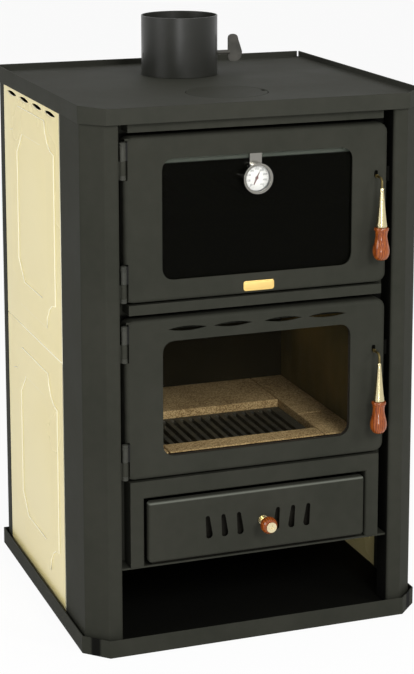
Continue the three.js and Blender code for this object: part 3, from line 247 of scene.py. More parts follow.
def make_enamel_group():
    """Fired enamel: slow waves in its thickness, and a slightly deeper tone in places."""
    group, entry, leave = new_group("fired_enamel", [
        ("Base", "NodeSocketColor", enamel_cream), ("Deep", "NodeSocketColor", enamel_deep),
    ], [("Color", "NodeSocketColor"), ("Roughness", "NodeSocketFloat"), ("Height", "NodeSocketFloat")])
    waves = cloud(group, 38.0, 2.0)
    patches = cloud(group, 4.0, 3.0)
    peel = cloud(group, 260.0, 1.0)
    colour = blended(group, sums(group, "MULTIPLY", spread(group, patches, 0.3, 0.75), 0.6),
                     entry.outputs["Base"], entry.outputs["Deep"])
    height = sums(group, "ADD", waves, sums(group, "MULTIPLY", peel, 0.15))
    send(group, leave, Color=colour, Roughness=spread(group, patches, 0.3, 0.7, 0.2, 0.3), Height=height)
    return group


def make_sooty_group():
    """Bare rolled steel inside: smoke-black, browned by heat in wide clouds."""
    group, entry, leave = new_group("sooty_steel", [
        ("Soot", "NodeSocketColor", inner_black), ("Heat", "NodeSocketColor", inner_brown),
        ("Browning", "NodeSocketFloat", 0.4),
    ], [("Color", "NodeSocketColor"), ("Roughness", "NodeSocketFloat"), ("Height", "NodeSocketFloat")])
    clouds = cloud(group, 6.0, 5.0)
    streaks = cloud(group, 30.0, 4.0, (1.0, 1.0, 0.25))
    share = sums(group, "MULTIPLY", spread(group, clouds, 0.35, 0.7), entry.outputs["Browning"])
    colour = blended(group, share, entry.outputs["Soot"], entry.outputs["Heat"])
    send(group, leave, Color=colour, Roughness=spread(group, streaks, 0.3, 0.7, 0.55, 0.8), Height=streaks)
    return group


def make_cast_group():
    """Cast iron: a pebbly skin with tiny pits."""
    group, entry, leave = new_group("cast_skin", [
        ("Base", "NodeSocketColor", iron_grey), ("Lifted", "NodeSocketColor", paint_lifted),
    ], [("Color", "NodeSocketColor"), ("Roughness", "NodeSocketFloat"), ("Height", "NodeSocketFloat")])
    pebbles = put(group, "ShaderNodeTexVoronoi", Scale=700.0)
    group.links.new(own_place(group), pebbles.inputs["Vector"])
    clouds = cloud(group, 35.0, 4.0)
    colour = blended(group, spread(group, clouds, 0.3, 0.7), entry.outputs["Base"], entry.outputs["Lifted"])
    height = sums(group, "ADD", pebbles.outputs["Distance"], clouds)
    send(group, leave, Color=colour, Roughness=spread(group, clouds, 0.3, 0.7, 0.5, 0.7), Height=height)
    return group


def make_brick_group():
    """Firebrick: sandy, with dark and light grit and open pores."""
    group, entry, leave = new_group("sandy_brick", [
        ("Light", "NodeSocketColor", brick_light), ("Dark", "NodeSocketColor", brick_dark),
    ], [("Color", "NodeSocketColor"), ("Height", "NodeSocketFloat")])
    clouds = cloud(group, 14.0, 5.0)
    grit = cloud(group, 420.0, 3.0)
    pores = put(group, "ShaderNodeTexVoronoi", Scale=330.0)
    group.links.new(own_place(group), pores.inputs["Vector"])
    pits = spread(group, pores.outputs["Distance"], 0.08, 0.26)
    tone = sums(group, "ADD", sums(group, "MULTIPLY", spread(group, clouds, 0.3, 0.7), 0.4),
                sums(group, "MULTIPLY", spread(group, grit, 0.42, 0.58), 0.6))
    sand = blended(group, tone, entry.outputs["Dark"], entry.outputs["Light"])
    colour = blended(group, sums(group, "MULTIPLY", sums(group, "SUBTRACT", 1.0, pits), 0.5),
                     sand, entry.outputs["Dark"])
    height = sums(group, "ADD", pits, sums(group, "MULTIPLY", grit, 0.6))
    send(group, leave, Color=colour, Height=height)
    return group


def make_metal_group():
    """Bright metal: fine polishing lines and soft tarnish."""
    group, entry, leave = new_group("polished_metal", [
        ("Base", "NodeSocketColor", brass_yellow), ("Tarnish", "NodeSocketColor", brass_tarnish),
        ("Dulling", "NodeSocketFloat", 0.3), ("Roughness", "NodeSocketFloat", 0.25),
    ], [("Color", "NodeSocketColor"), ("Roughness", "NodeSocketFloat"), ("Height", "NodeSocketFloat")])
    clouds = cloud(group, 90.0, 4.0)
    lines = cloud(group, 260.0, 2.0, (1.0, 1.0, 14.0))
    colour = blended(group, sums(group, "MULTIPLY", spread(group, clouds, 0.4, 0.75),
                                 entry.outputs["Dulling"]), entry.outputs["Base"], entry.outputs["Tarnish"])
    roughness = sums(group, "ADD", entry.outputs["Roughness"],
                     sums(group, "MULTIPLY", spread(group, lines, 0.3, 0.7), 0.12))
    send(group, leave, Color=colour, Roughness=roughness, Height=lines)
    return group


def make_wood_group():
    """Turned wood under lacquer: long grain bent round knots, with fine pores."""
    group, entry, leave = new_group("turned_wood", [
        ("Light", "NodeSocketColor", wood_light), ("Dark", "NodeSocketColor", wood_dark),
    ], [("Color", "NodeSocketColor"), ("Roughness", "NodeSocketFloat"), ("Height", "NodeSocketFloat")])
    rings = put(group, "ShaderNodeTexWave", {"wave_type": "BANDS", "bands_direction": "X"},
                Scale=95.0, Distortion=7.0, Detail=3.0, Detail_Scale=1.4)
    group.links.new(own_place(group, (1.0, 0.8, 0.12)), rings.inputs["Vector"])
    fibres = cloud(group, 900.0, 2.0, (1.0, 1.0, 0.06))
    clouds = cloud(group, 45.0, 2.0)
    share = sums(group, "ADD", sums(group, "MULTIPLY", rings.outputs["Fac"], 0.35),
                 sums(group, "MULTIPLY", spread(group, fibres, 0.4, 0.7), 0.3))
    colour = blended(group, share, entry.outputs["Dark"], entry.outputs["Light"])
    send(group, leave, Color=colour, Roughness=spread(group, clouds, 0.3, 0.7, 0.22, 0.34), Height=fibres)
    return group


def make_smudge_group():
    """Wiped glass: faint cloudy smears."""
    group, entry, leave = new_group("wiped_glass", [("Roughness", "NodeSocketFloat", 0.03)],
                                    [("Roughness", "NodeSocketFloat"), ("Film", "NodeSocketFloat")])
    smears = cloud(group, 16.0, 4.0, (1.0, 1.0, 2.2))
    film = spread(group, smears, 0.45, 0.75)
    roughness = sums(group, "ADD", entry.outputs["Roughness"], sums(group, "MULTIPLY", film, 0.05))
    send(group, leave, Roughness=roughness, Film=film)
    return group


def make_rope_group():
    """Plaited sealing rope: slanting strands with soft fibres."""
    group, entry, leave = new_group("plaited_rope", [("Base", "NodeSocketColor", rope_grey)],
                                    [("Color", "NodeSocketColor"), ("Height", "NodeSocketFloat")])
    strands = put(group, "ShaderNodeTexWave", {"wave_type": "BANDS", "bands_direction": "DIAGONAL"},
                  Scale=95.0, Distortion=1.2)
    group.links.new(own_place(group), strands.inputs["Vector"])
    fuzz = cloud(group, 500.0, 2.0)
    darker = blended(group, 0.55, entry.outputs["Base"], inner_black)
    colour = blended(group, strands.outputs["Fac"], darker, entry.outputs["Base"])
    height = sums(group, "ADD", strands.outputs["Fac"], sums(group, "MULTIPLY", fuzz, 0.4))
    send(group, leave, Color=colour, Height=height)
    return group


paint_group = make_paint_group()
enamel_group = make_enamel_group()
sooty_group = make_sooty_group()
cast_group = make_cast_group()
brick_group = make_brick_group()
metal_group = make_metal_group()
wood_group = make_wood_group()
smudge_group = make_smudge_group()
rope_group = make_rope_group()


# Finishes

def finish(name, group, choices=None, bump=0.0, depth=0.1, **plain):
    """A material: one shared effect wired to the surface, and its steady values."""
    material = bpy.data.materials.new(name)
    material.use_nodes = True
    tree = material.node_tree
    surface = tree.nodes["Principled BSDF"]
    effect = tree.nodes.new("ShaderNodeGroup")
    effect.node_tree = group
    for label, value in (choices or {}).items():
        effect.inputs[label].default_value = value
    outs = effect.outputs
    if "Color" in outs:
        tree.links.new(outs["Color"], surface.inputs["Base Color"])
    if "Roughness" in outs:
        tree.links.new(outs["Roughness"], surface.inputs["Roughness"])
    if "Height" in outs and bump:
        relief = put(tree, "ShaderNodeBump", Strength=bump, Distance=depth * mm)
        tree.links.new(outs["Height"], relief.inputs["Height"])
        tree.links.new(relief.outputs["Normal"], surface.inputs["Normal"])
    for label, value in plain.items():
        surface.inputs[label.replace("_", " ")].default_value = value
    return material


stove_paint = finish("stove_paint", paint_group, bump=0.25, depth=0.15, Specular_IOR_Level=0.03)
plate_paint = finish("top_plate_paint", paint_group, {"Roughness": 0.7}, bump=0.25, depth=0.15,
                     Specular_IOR_Level=0.08)
flue_paint = finish("flue_paint", paint_group, {"Base": flue_grey, "Lifted": flue_lifted,
                                                "Roughness": 0.36}, bump=0.3, depth=0.15,
                    Specular_IOR_Level=0.36)
# Painted shade, with some soot: near-black for the inside of the ash drawer, seen through its slots
painted_shade_inside = finish("painted_shade_inside", paint_group, {"Base": painted_shade_black, "Lifted": inner_black,
                                                    "Roughness": 0.75}, bump=0.2, depth=0.15,
                      Specular_IOR_Level=0.05)
hinge_paint = finish("hinge_paint", paint_group, {"Base": seen(48, 49, 44), "Lifted": seen(58, 58, 52),
                                                  "Rubbing and highlight": 0.6, "Roughness": 0.4}, bump=0.2,
                     depth=0.1, Specular_IOR_Level=0.15)
cream_enamel = finish("cream_enamel", enamel_group, bump=0.12, depth=0.4, Coat_Weight=0.12,
                      Coat_Roughness=0.12, Specular_IOR_Level=0.2)
sooty_steel = finish("sooty_steel", sooty_group, bump=0.2, depth=0.2, Specular_IOR_Level=0.3)
oven_black = finish("oven_black", sooty_group, {"Browning": 0.08}, bump=0.2, depth=0.2,
                    Specular_IOR_Level=0.25)
cast_iron = finish("cast_iron", cast_group, bump=0.35, depth=0.3, Specular_IOR_Level=0.35)
warm_soot = finish("warm_soot", sooty_group, {"Soot": smoke_olive, "Heat": smoke_brown, "Browning": 0.7},
                   bump=0.2, depth=0.2, Specular_IOR_Level=0.1)
dark_soot = finish("dark_soot", sooty_group, {"Soot": soot_black, "Heat": soot_olive, "Browning": 0.5},
                   bump=0.2, depth=0.2, Specular_IOR_Level=0.05)
dark_steel = finish("dark_steel", metal_group, {"Base": seen(64, 63, 60), "Tarnish": iron_grey,
                                                "Dulling": 0.2, "Roughness": 0.2},
                    bump=0.02, depth=0.02, Metallic=1.0)
firebrick = finish("firebrick", brick_group, bump=0.5, depth=0.5, Roughness=0.95,
                   Specular_IOR_Level=0.2)
sealing_rope = finish("sealing_rope", rope_group, bump=0.6, depth=0.6, Roughness=0.95)
badge_brass = finish("badge_brass", metal_group, {"Dulling": 0.12, "Roughness": 0.34}, bump=0.05,
                     depth=0.05, Metallic=1.0)
pale_brass = finish("pale_brass", metal_group, {"Base": brass_pale, "Tarnish": seen(164, 148, 104),
                                                "Dulling": 0.1, "Roughness": 0.17},
                    bump=0.05, depth=0.05, Metallic=1.0)
bronze = finish("dull_bronze", metal_group, {"Base": bronze_dull, "Tarnish": bronze_tarnish,
                                             "Dulling": 0.4, "Roughness": 0.42},
                bump=0.05, depth=0.05, Metallic=1.0)
dark_iron = finish("dark_iron", cast_group, {"Base": seen(52, 51, 46), "Lifted": seen(84, 82, 76)},
                   bump=0.15, depth=0.1, Specular_IOR_Level=0.3)
frame_paint = finish("frame_paint", paint_group, {"Base": frame_grey, "Lifted": frame_lifted},
                     bump=0.15, depth=0.1, Specular_IOR_Level=0.2)
steel = finish("brushed_steel", metal_group, {"Base": steel_grey, "Tarnish": iron_grey,
                                              "Dulling": 0.2, "Roughness": 0.34},
               bump=0.1, depth=0.05, Metallic=1.0)
chrome = finish("chrome", metal_group, {"Base": chrome_grey, "Tarnish": steel_grey,
                                        "Dulling": 0.15, "Roughness": 0.1},
                bump=0.02, depth=0.02, Metallic=1.0)
pale_screw = finish("pale_screw", metal_group, {"Base": seen(226, 214, 176), "Tarnish": brass_tarnish,
                                                "Dulling": 0.3, "Roughness": 0.26},
                    bump=0.05, depth=0.05, Metallic=1.0)
lacquered_wood = finish("lacquered_wood", wood_group, bump=0.08, depth=0.1, Coat_Weight=0.6,
                        Coat_Roughness=0.1, Specular_IOR_Level=0.1)
dial_paper = finish("dial_white", enamel_group, {"Base": dial_white, "Deep": seen(232, 230, 222)},
                    Specular_IOR_Level=0.3)
dial_ink = finish("dial_print", enamel_group, {"Base": print_black, "Deep": seen(58, 56, 56)})
needle_paint = finish("needle_brown", enamel_group, {"Base": needle_brown, "Deep": seen(84, 30, 22)})


def between(tree, value, low, high, rise, fall):
    """One between two limits and zero outside them, with a soft rise and fall inside."""
    return sums(tree, "MULTIPLY", spread(tree, value, low, low + rise),
                spread(tree, value, high - fall, high, 1.0, 0.0))


def lay_over(material, share, colour):
    """Lays another colour over a finish, by a share that changes from place to place."""
    tree = material.node_tree
    base = tree.nodes["Principled BSDF"].inputs["Base Color"]
    tree.links.new(blended(tree, share, base.links[0].from_socket, colour), base)


def coat_within(material, front=None, half_width=None, heights=(), soft=3 * mm, coat=painted_shade_black):
    """Lays painted light over a finish, painted shade where no light reaches unless another tone is given:
    behind a line across the stove, within a half width of its middle, or between pairs of heights."""
    tree = material.node_tree
    place = along(tree)
    share = 1.0
    if front is not None:
        share = spread(tree, place["Y"], front, front + soft)
    if half_width is not None:
        off = sums(tree, "ABSOLUTE", place["X"], 0.0)
        share = sums(tree, "MULTIPLY", share, spread(tree, off, half_width, half_width + soft, 1.0, 0.0))
    bands = 0.0
    for low, high in heights:
        bands = sums(tree, "ADD", bands, between(tree, place["Z"], low, high, soft, soft))
    if heights:
        share = sums(tree, "MULTIPLY", share, bands)
    lay_over(material, share, coat)
    return material


def painted(name, **limits):
    """Stove paint with painted shade inside the given limits, unless another tone is given."""
    return coat_within(finish(name, paint_group, bump=0.25, depth=0.15, Specular_IOR_Level=0.03), **limits)


drawer_low, drawer_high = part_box("ash_drawer_front")
rail_low, rail_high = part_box("middle_rail")
apron_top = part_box("drawer_apron")[1].z
top_rail_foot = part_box("top_rail")[0].z
plate_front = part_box("front_plate")[0].y
lid_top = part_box("hotplate_lid")[1].z
hinge_reach = -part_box("oven_door_hinge_upper")[0].x
fire_opening = apron_top, rail_low.z - 4.5 * mm
oven_opening = rail_high.z - 0.5 * mm, top_rail_foot - 3.5 * mm
bend_heights = drawer_high.z - 5 * mm, drawer_high.z - 0.3 * mm
slot_heights = drawer_low.z + 15.3 * mm, drawer_high.z - 10.2 * mm

# Painted shade: the floor of the bay near-black behind the front, where no light reaches
tray_paint = painted("tray_paint", front=drawer_low.y + 0.3 * mm, half_width=276 * mm)
# Painted shade: the inner returns of the front posts near-black behind the front, in the gaps beside doors
# and bay
post_paint = painted("post_paint", front=drawer_low.y + 2.3 * mm, half_width=235 * mm)
# Painted shade: the front plate near-black at the heights of the door openings, seen in the gaps round the
# doors
plate_front_paint = painted("front_plate_paint", heights=(fire_opening, oven_opening))
# Painted shade: the bay ceiling near-black behind the front plate
ceiling_paint = painted("bay_ceiling_paint", front=plate_front + 3 * mm)
# Painted shade: the latch spindle near-black behind the door's face, so its slot reads dark
spindle_bronze = coat_within(bronze, front=drawer_low.y + 4.3 * mm, soft=0.5 * mm)
# Painted shade: the lid near-black below its top face, in the groove round it
lid_paint = painted("hotplate_lid_paint", heights=((lid_top - 17 * mm, lid_top - 0.4 * mm),), soft=0.3 * mm)
# Painted shade: the hinge parts near-black towards the door, where the gap beside the barrel is in shade
hinge_coat = coat_within(hinge_paint, half_width=hinge_reach - 2 * hinge_radius - 0.8 * mm, soft=0.6 * mm)
# Painted highlight: a paler band on the drawer front's top bend, where light from above catches it
drawer_paint = painted("ash_drawer_front_paint", heights=(bend_heights,), soft=2.4 * mm, coat=painted_highlight_grey)
# Painted shade: the walls of the drawer's slots near-black
coat_within(drawer_paint, front=drawer_low.y + 0.7 * mm, half_width=160 * mm, heights=(slot_heights,),
            soft=1 * mm)


def pale_bends(material, crest):
    """A painted highlight, pale cream, on the bends of a panel's lines and on its rolled edge."""
    tree = material.node_tree
    off = sums(tree, "ABSOLUTE", along(tree)["X"], 0.0)
    foot = crest - line_height
    bends = between(tree, off, foot + 0.1 * mm, crest - 0.02 * mm, 0.2 * mm, 0.08 * mm)
    rolled = between(tree, off, foot - edge_roll, foot - 0.1 * mm, 0.2 * mm, 0.2 * mm)
    lay_over(material, sums(tree, "MAXIMUM", bends, rolled), painted_highlight_cream)


pale_bends(cream_enamel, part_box("right_upper_panel")[1].x)


def glass_finish(name, tint, alpha, index):
    """Clear glass that lets the light of the room reach what is behind it."""
    return finish(name, smudge_group, Base_Color=tint, Alpha=alpha, IOR=index,
                  Transmission_Weight=0.0, Metallic=0.0, Specular_IOR_Level=0.15)


def clear_above(material, height, shaded, clear):
    """Lets more light through a glass above a height; below it the glass stays dark, a painted shade."""
    tree = material.node_tree
    share = spread(tree, along(tree)["Z"], height, height + 2 * mm, shaded, clear)
    tree.links.new(share, tree.nodes["Principled BSDF"].inputs["Alpha"])
    return material


window_glass = glass_finish("window_glass", seen(40, 36, 26), 0.06, 1.2)
# Painted shade: the oven window darkened below the strip, standing for the unlit oven inside; clearer above
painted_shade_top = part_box("oven_door_glass")[1].z - 17.5 * mm
oven_glass = clear_above(glass_finish("oven_window_glass", seen(5, 5, 3), 0.85, 1.2), painted_shade_top, 0.85, 0.2)
lens_glass = glass_finish("lens_glass", seen(210, 214, 214), 0.08, 1.3)


# Working on one piece by hand

def pick(piece):
    bpy.ops.object.select_all(action="DESELECT")
    piece.select_set(True)
    bpy.context.view_layer.objects.active = piece


def apply_changes(piece):
    pick(piece)
    for modifier in list(piece.modifiers):
        bpy.ops.object.modifier_apply(modifier=modifier.name)


def hand_over(piece, name, material, body, stands_for=(), smooth=38):
    """Names a finished piece, cleans its mesh and gives it its finish and its body."""
    piece.name = piece.data.name = name
    pick(piece)
    bpy.ops.object.transform_apply(location=True, rotation=True, scale=True)
    bpy.ops.object.mode_set(mode="EDIT")
    bpy.ops.mesh.select_all(action="SELECT")
    bpy.ops.mesh.remove_doubles(threshold=weld)
    bpy.ops.mesh.normals_make_consistent(inside=False)
    bpy.ops.object.mode_set(mode="OBJECT")
    bpy.ops.object.shade_smooth_by_angle(angle=math.radians(smooth))
    piece.data.materials.clear()
    piece.data.materials.append(material)
    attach(piece, body)
    if stands_for:
        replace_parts(piece, *stands_for)
    return piece


def another(piece, name, shift, body, stands_for=()):
    """A second piece like a finished one, with its own mesh, place and body."""
    pick(piece)
    bpy.ops.object.duplicate()
    twin = bpy.context.object
    bpy.ops.object.parent_clear(type="CLEAR_KEEP_TRANSFORM")
    twin.pop("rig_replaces", None)
    bpy.ops.transform.translate(value=shift)
    return hand_over(twin, name, piece.data.materials[0], body, stands_for)


def choose_faces(piece, wanted):
    """Selects the faces of a piece that answer to a rule and leaves edit mode on."""
    bpy.ops.object.mode_set(mode="EDIT")
    bpy.ops.mesh.select_mode(type="FACE")
    bpy.ops.mesh.select_all(action="DESELECT")
    bpy.ops.object.mode_set(mode="OBJECT")
    for face in piece.data.polygons:
        face.select = wanted(face)
    bpy.ops.object.mode_set(mode="EDIT")


def choose_edges(piece, wanted):
    """Selects the edges whose two ends answer to a rule and leaves edit mode on."""
    bpy.ops.object.mode_set(mode="EDIT")
    bpy.ops.mesh.select_mode(type="EDGE")
    bpy.ops.mesh.select_all(action="DESELECT")
    bpy.ops.object.mode_set(mode="OBJECT")
    corners = piece.data.vertices
    for edge in piece.data.edges:
        edge.select = wanted(*(corners[i].co for i in edge.vertices))
    bpy.ops.object.mode_set(mode="EDIT")


def copy_node(node, ending):
    """A copy of a node's shape, its shared corners merged, left in edit mode."""
    piece = bpy.data.objects.new(node + ending, nodes[node].data.copy())
    bpy.context.scene.collection.objects.link(piece)
    pick(piece)
    bpy.ops.object.mode_set(mode="EDIT")
    bpy.ops.mesh.select_all(action="SELECT")
    bpy.ops.mesh.remove_doubles(threshold=weld)
    return piece


def even_shading(piece):
    normals = piece.modifiers.new("normals", "WEIGHTED_NORMAL")
    normals.keep_sharp = True
    apply_changes(piece)


def eased(node, material, width=0.8, steps=3, flat_merged=True, shaped=None):
    """A node's shape with its edges broken, as pressing, filing or casting leaves them."""
    piece = copy_node(node, "_eased")
    if flat_merged:
        bpy.ops.mesh.dissolve_limited(angle_limit=flat_angle)
    bpy.ops.mesh.normals_make_consistent(inside=False)
    bpy.ops.object.mode_set(mode="OBJECT")
    if shaped:
        shaped(piece)
    edges = piece.modifiers.new("edges", "BEVEL")
    edges.width = width * mm
    edges.segments = steps
    edges.loop_slide = flat_merged
    edges.limit_method = "ANGLE"
    edges.angle_limit = edge_angle
    apply_changes(piece)
    hand_over(piece, node + "_eased", material, nodes[node]["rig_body"], (node,))
    even_shading(piece)


def turned(name, rings, material, body, stands_for=(), place=(0, 0, 0), tilt=(0, 0, 0), panes=48,
           hollow=False):
    """A piece turned on a lathe: rings of radius and height in millimetres, from its foot up.
    A hollow one ends on the ring it began with."""
    radius, height = rings[0]
    bpy.ops.mesh.primitive_circle_add(vertices=panes, radius=radius * mm, location=(0, 0, height * mm),
                                      fill_type="NOTHING" if hollow else "NGON")
    piece = bpy.context.object
    bpy.ops.object.transform_apply(location=True, rotation=True, scale=True)
    bpy.ops.object.mode_set(mode="EDIT")
    bpy.ops.mesh.select_all(action="SELECT")
    for next_radius, next_height in rings[1:]:
        rise = {"value": (0, 0, (next_height - height) * mm)}
        bpy.ops.mesh.extrude_region_move(TRANSFORM_OT_translate=rise)
        grow = next_radius / radius
        if grow != 1:
            bpy.ops.transform.resize(value=(grow, grow, 1), center_override=(0, 0, next_height * mm))
        radius, height = next_radius, next_height
    bpy.ops.object.mode_set(mode="OBJECT")
    piece.location = place
    piece.rotation_euler = tilt
    return hand_over(piece, name, material, body, stands_for)


def curve_through(points, steps):
    """Rings along a smooth line through a few points of radius and height."""
    rings = []
    last = len(points) - 1
    for i in range(last):
        before, here = points[max(i - 1, 0)], points[i]
        there, after = points[i + 1], points[min(i + 2, last)]
        for k in range(steps):
            t = k / steps
            rings.append(tuple(0.5 * (2 * q + (r - p) * t + (2 * p - 5 * q + 4 * r - s) * t ** 2
                                      + (3 * q - p - 3 * r + s) * t ** 3)
                               for p, q, r, s in zip(before, here, there, after)))
    return rings + [points[-1]]


def middle(node):
    low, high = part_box(node)
    return (low + high) / 2


# Camera and light

def set_camera():
    down, turn = 10.48, -20.156
    camera = bpy.data.cameras.new("camera")
    camera.lens = 104.6
    camera.sensor_width = 36
    camera.shift_x = -0.015
    camera.shift_y = -0.25
    holder = bpy.data.objects.new("camera", camera)
    holder.location = (-1.0919, -3.0286, 1.3197)
    holder.rotation_euler = (math.radians(90 - down), 0, math.radians(turn))
    bpy.context.scene.collection.objects.link(holder)
    bpy.context.scene.camera = holder


def lamp(name, place, aim, size, power):
    light = bpy.data.lights.new(name, "AREA")
    light.shape = "SQUARE"
    light.size = size
    light.energy = power
    holder = bpy.data.objects.new(name, light)
    bpy.context.scene.collection.objects.link(holder)
    holder.location = place
    away = [b - a for a, b in zip(place, aim)]
    level = math.hypot(away[0], away[1])
    holder.rotation_euler = (math.atan2(level, -away[2]), 0, math.atan2(away[1], away[0]) - math.pi / 2)


def pale_backdrop(tree, ordinary, target):
    """White for the eye and for what metal and glass show; the ordinary shader for other light."""
    path = tree.nodes.new("ShaderNodeLightPath")
    looks = sums(tree, "MAXIMUM", sums(tree, "MAXIMUM", path.outputs["Is Camera Ray"],
                                       path.outputs["Is Glossy Ray"]), path.outputs["Is Transmission Ray"])
    mix = tree.nodes.new("ShaderNodeMixShader")
    tree.links.new(looks, mix.inputs["Fac"])
    tree.links.new(ordinary, mix.inputs[1])
    tree.links.new(mix.outputs["Shader"], target)
    return mix.inputs[2]


def set_light():
    world = bpy.data.worlds.new("studio")
    bpy.context.scene.world = world
    world.use_nodes = True
    tree = world.node_tree
    room = tree.nodes["Background"]
    room.inputs["Color"].default_value = white
    room.inputs["Strength"].default_value = 0.3
    shown = put(tree, "ShaderNodeBackground", Color=white, Strength=1.0)
    slot = pale_backdrop(tree, room.outputs["Background"], tree.nodes["World Output"].inputs["Surface"])
    tree.links.new(shown.outputs["Background"], slot)
    lamp("key", (2.0, -2.6, 2.2), (0, -0.2, 0.5), 1.0, 34)
    lamp("front", (0.1, -3.1, 2.0), (0, -0.2, 0.5), 0.9, 55)
    lamp("low", (-1.15, -3.3, 0.6), (0, -0.2, 0.7), 0.6, 20)
    lamp("left", (-3.0, -0.6, 1.7), (-0.2, 0, 0.5), 1.6, 38)
    lamp("above", (-0.2, 0.2, 3.1), (0, 0, 0.8), 1.6, 8)


def set_floor():
    bpy.ops.mesh.primitive_plane_add(size=60, location=(0, 0, 0))
    floor = bpy.context.object
    floor.name = "studio_floor"
    material = bpy.data.materials.new("studio_floor")
    material.use_nodes = True
    tree = material.node_tree
    surface = tree.nodes["Principled BSDF"]
    surface.inputs["Base Color"].default_value = seen(250, 250, 250)
    surface.inputs["Roughness"].default_value = 0.9
    surface.inputs["Specular IOR Level"].default_value = 0.0
    slot = pale_backdrop(tree, surface.outputs["BSDF"], tree.nodes["Material Output"].inputs["Surface"])
    glow = put(tree, "ShaderNodeEmission", Color=white, Strength=1.0)
    share = put(tree, "ShaderNodeMixShader", Fac=0.93)
    tree.links.new(surface.outputs["BSDF"], share.inputs[1])
    tree.links.new(glow.outputs["Emission"], share.inputs[2])
    tree.links.new(share.outputs["Shader"], slot)
    floor.data.materials.append(material)


# Sheet-metal body, bricks and inner parts, each with its edges eased

def ease_body():
    for node in ("left_rear_post", "right_rear_post", "top_rail", "middle_rail", "drawer_apron"):
        eased(node, stove_paint, width=0.7)
    for node in ("oven_door_leaf", "fire_door_leaf"):
        eased(node, stove_paint, width=0.7, flat_merged=False)
    eased("ash_drawer_front", drawer_paint, width=0.7, flat_merged=False)
    for node in ("left_front_post", "right_front_post"):
        eased(node, post_paint, width=0.7)
    eased("base_tray", tray_paint, width=0.7)
    eased("front_plate", plate_front_paint, width=0.3, steps=2, flat_merged=False)
    eased("top_plate", plate_paint, width=0.9, flat_merged=False)
    eased("flue_pipe", flue_paint, width=0.5)
    eased("hotplate_lid", lid_paint, width=1.5)
    for side in ("left", "right"):
        for level in ("lower", "upper"):
            press_panel(side + "_" + level + "_panel")
    eased("bay_ceiling", ceiling_paint, width=0.4, steps=2)
    eased("ash_drawer_box", painted_shade_inside, width=0.4, steps=2)
    eased("inner_shell", warm_soot, width=0.4, steps=2)
    eased("firebox_back", dark_soot, width=0.4, steps=2)
    eased("back_panel", stove_paint, width=0.4, steps=2, flat_merged=False)
    for node in ("grate_shelf", "fire_door_glass_frame"):
        eased(node, sooty_steel, width=0.4, steps=2)
    eased("oven_door_glass_frame", frame_paint, width=0.4, steps=2)
    eased("oven_box", oven_black, width=0.6, steps=2)
    eased("oven_rack", steel, width=0.6, steps=2)
    for side in ("front", "rear", "left_front", "left_rear", "right_front", "right_rear"):
        eased("firebrick_" + side, firebrick, width=2.2, steps=4)
    eased("grate", cast_iron, width=1.2)
    eased("damper_disc", cast_iron, width=0.4, steps=2)
    eased("damper_spindle", dark_iron, width=0.4, steps=2)
    for door in ("oven_door", "fire_door"):
        eased(door + "_gasket", sealing_rope, width=2.4, steps=4)
        for height in ("lower", "upper"):
            eased(door + "_hinge_" + height, hinge_coat, width=0.4, steps=2)
    for latch in ("oven_latch", "fire_latch"):
        eased(latch + "_spindle", spindle_bronze, width=0.3, steps=2)


def press_panel(node):
    """An enamelled side panel, the band between its two lines pressed out level with them."""
    piece = copy_node(node, "_pressed")
    corners = [corner.co for corner in piece.data.vertices]
    out = 1 if corners[0].x > 0 else -1
    crest = max(out * corner.x for corner in corners)
    line = [corner for corner in corners if out * corner.x > crest - 0.1 * mm]
    low, high = min(corner.z for corner in line), max(corner.z for corner in line)
    inside_line = line_width + 8 * mm
    aim = min(corner.y for corner in line) + inside_line, (low + high) / 2

    choose_faces(piece, lambda face: abs(out * face.center.x - crest + line_height) < near
                 and covers(piece, face, aim))
    bpy.ops.mesh.faces_select_linked_flat(sharpness=math.radians(1))
    bpy.ops.transform.translate(value=(out * line_height, 0, 0))
    bpy.ops.mesh.select_all(action="SELECT")
    bpy.ops.mesh.remove_doubles(threshold=near)
    choose_faces(piece, lambda face: abs(out * face.center.x - crest) < near)
    bpy.ops.mesh.dissolve_limited(angle_limit=flat_angle)
    bpy.ops.mesh.select_mode(type="EDGE")
    bpy.ops.mesh.region_to_loop()
    bpy.ops.mesh.bevel(offset=press_bend, segments=4, affect="EDGES")
    if "lower" in node:
        roll_upper_edge(piece, out, crest - line_height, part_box(node)[1].z)
    bpy.ops.object.mode_set(mode="OBJECT")
    hand_over(piece, node + "_pressed", cream_enamel, nodes[node]["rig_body"], (node,), smooth=40)
    even_shading(piece)


def roll_upper_edge(piece, out, face_out, top):
    """The upper edge of a lower panel, rolled over towards the stove."""
    choose_edges(piece, lambda *ends: all(abs(at.z - top) < near and abs(out * at.x - face_out) < near
                                          for at in ends))
    bpy.ops.mesh.bevel(offset=edge_roll, segments=4, affect="EDGES")


def covers(piece, face, aim):
    """Whether a face of a side panel covers a point given along Y and Z."""
    points = [piece.data.vertices[i].co for i in face.vertices]
    inside = False
    for first, second in zip(points, points[1:] + points[:1]):
        if (first.z > aim[1]) != (second.z > aim[1]):
            crossing = first.y + (aim[1] - first.z) * (second.y - first.y) / (second.z - first.z)
            inside ^= aim[0] < crossing
    return inside


# Small turned collars at both ends of each hinge: one lifts off with the door, one stays

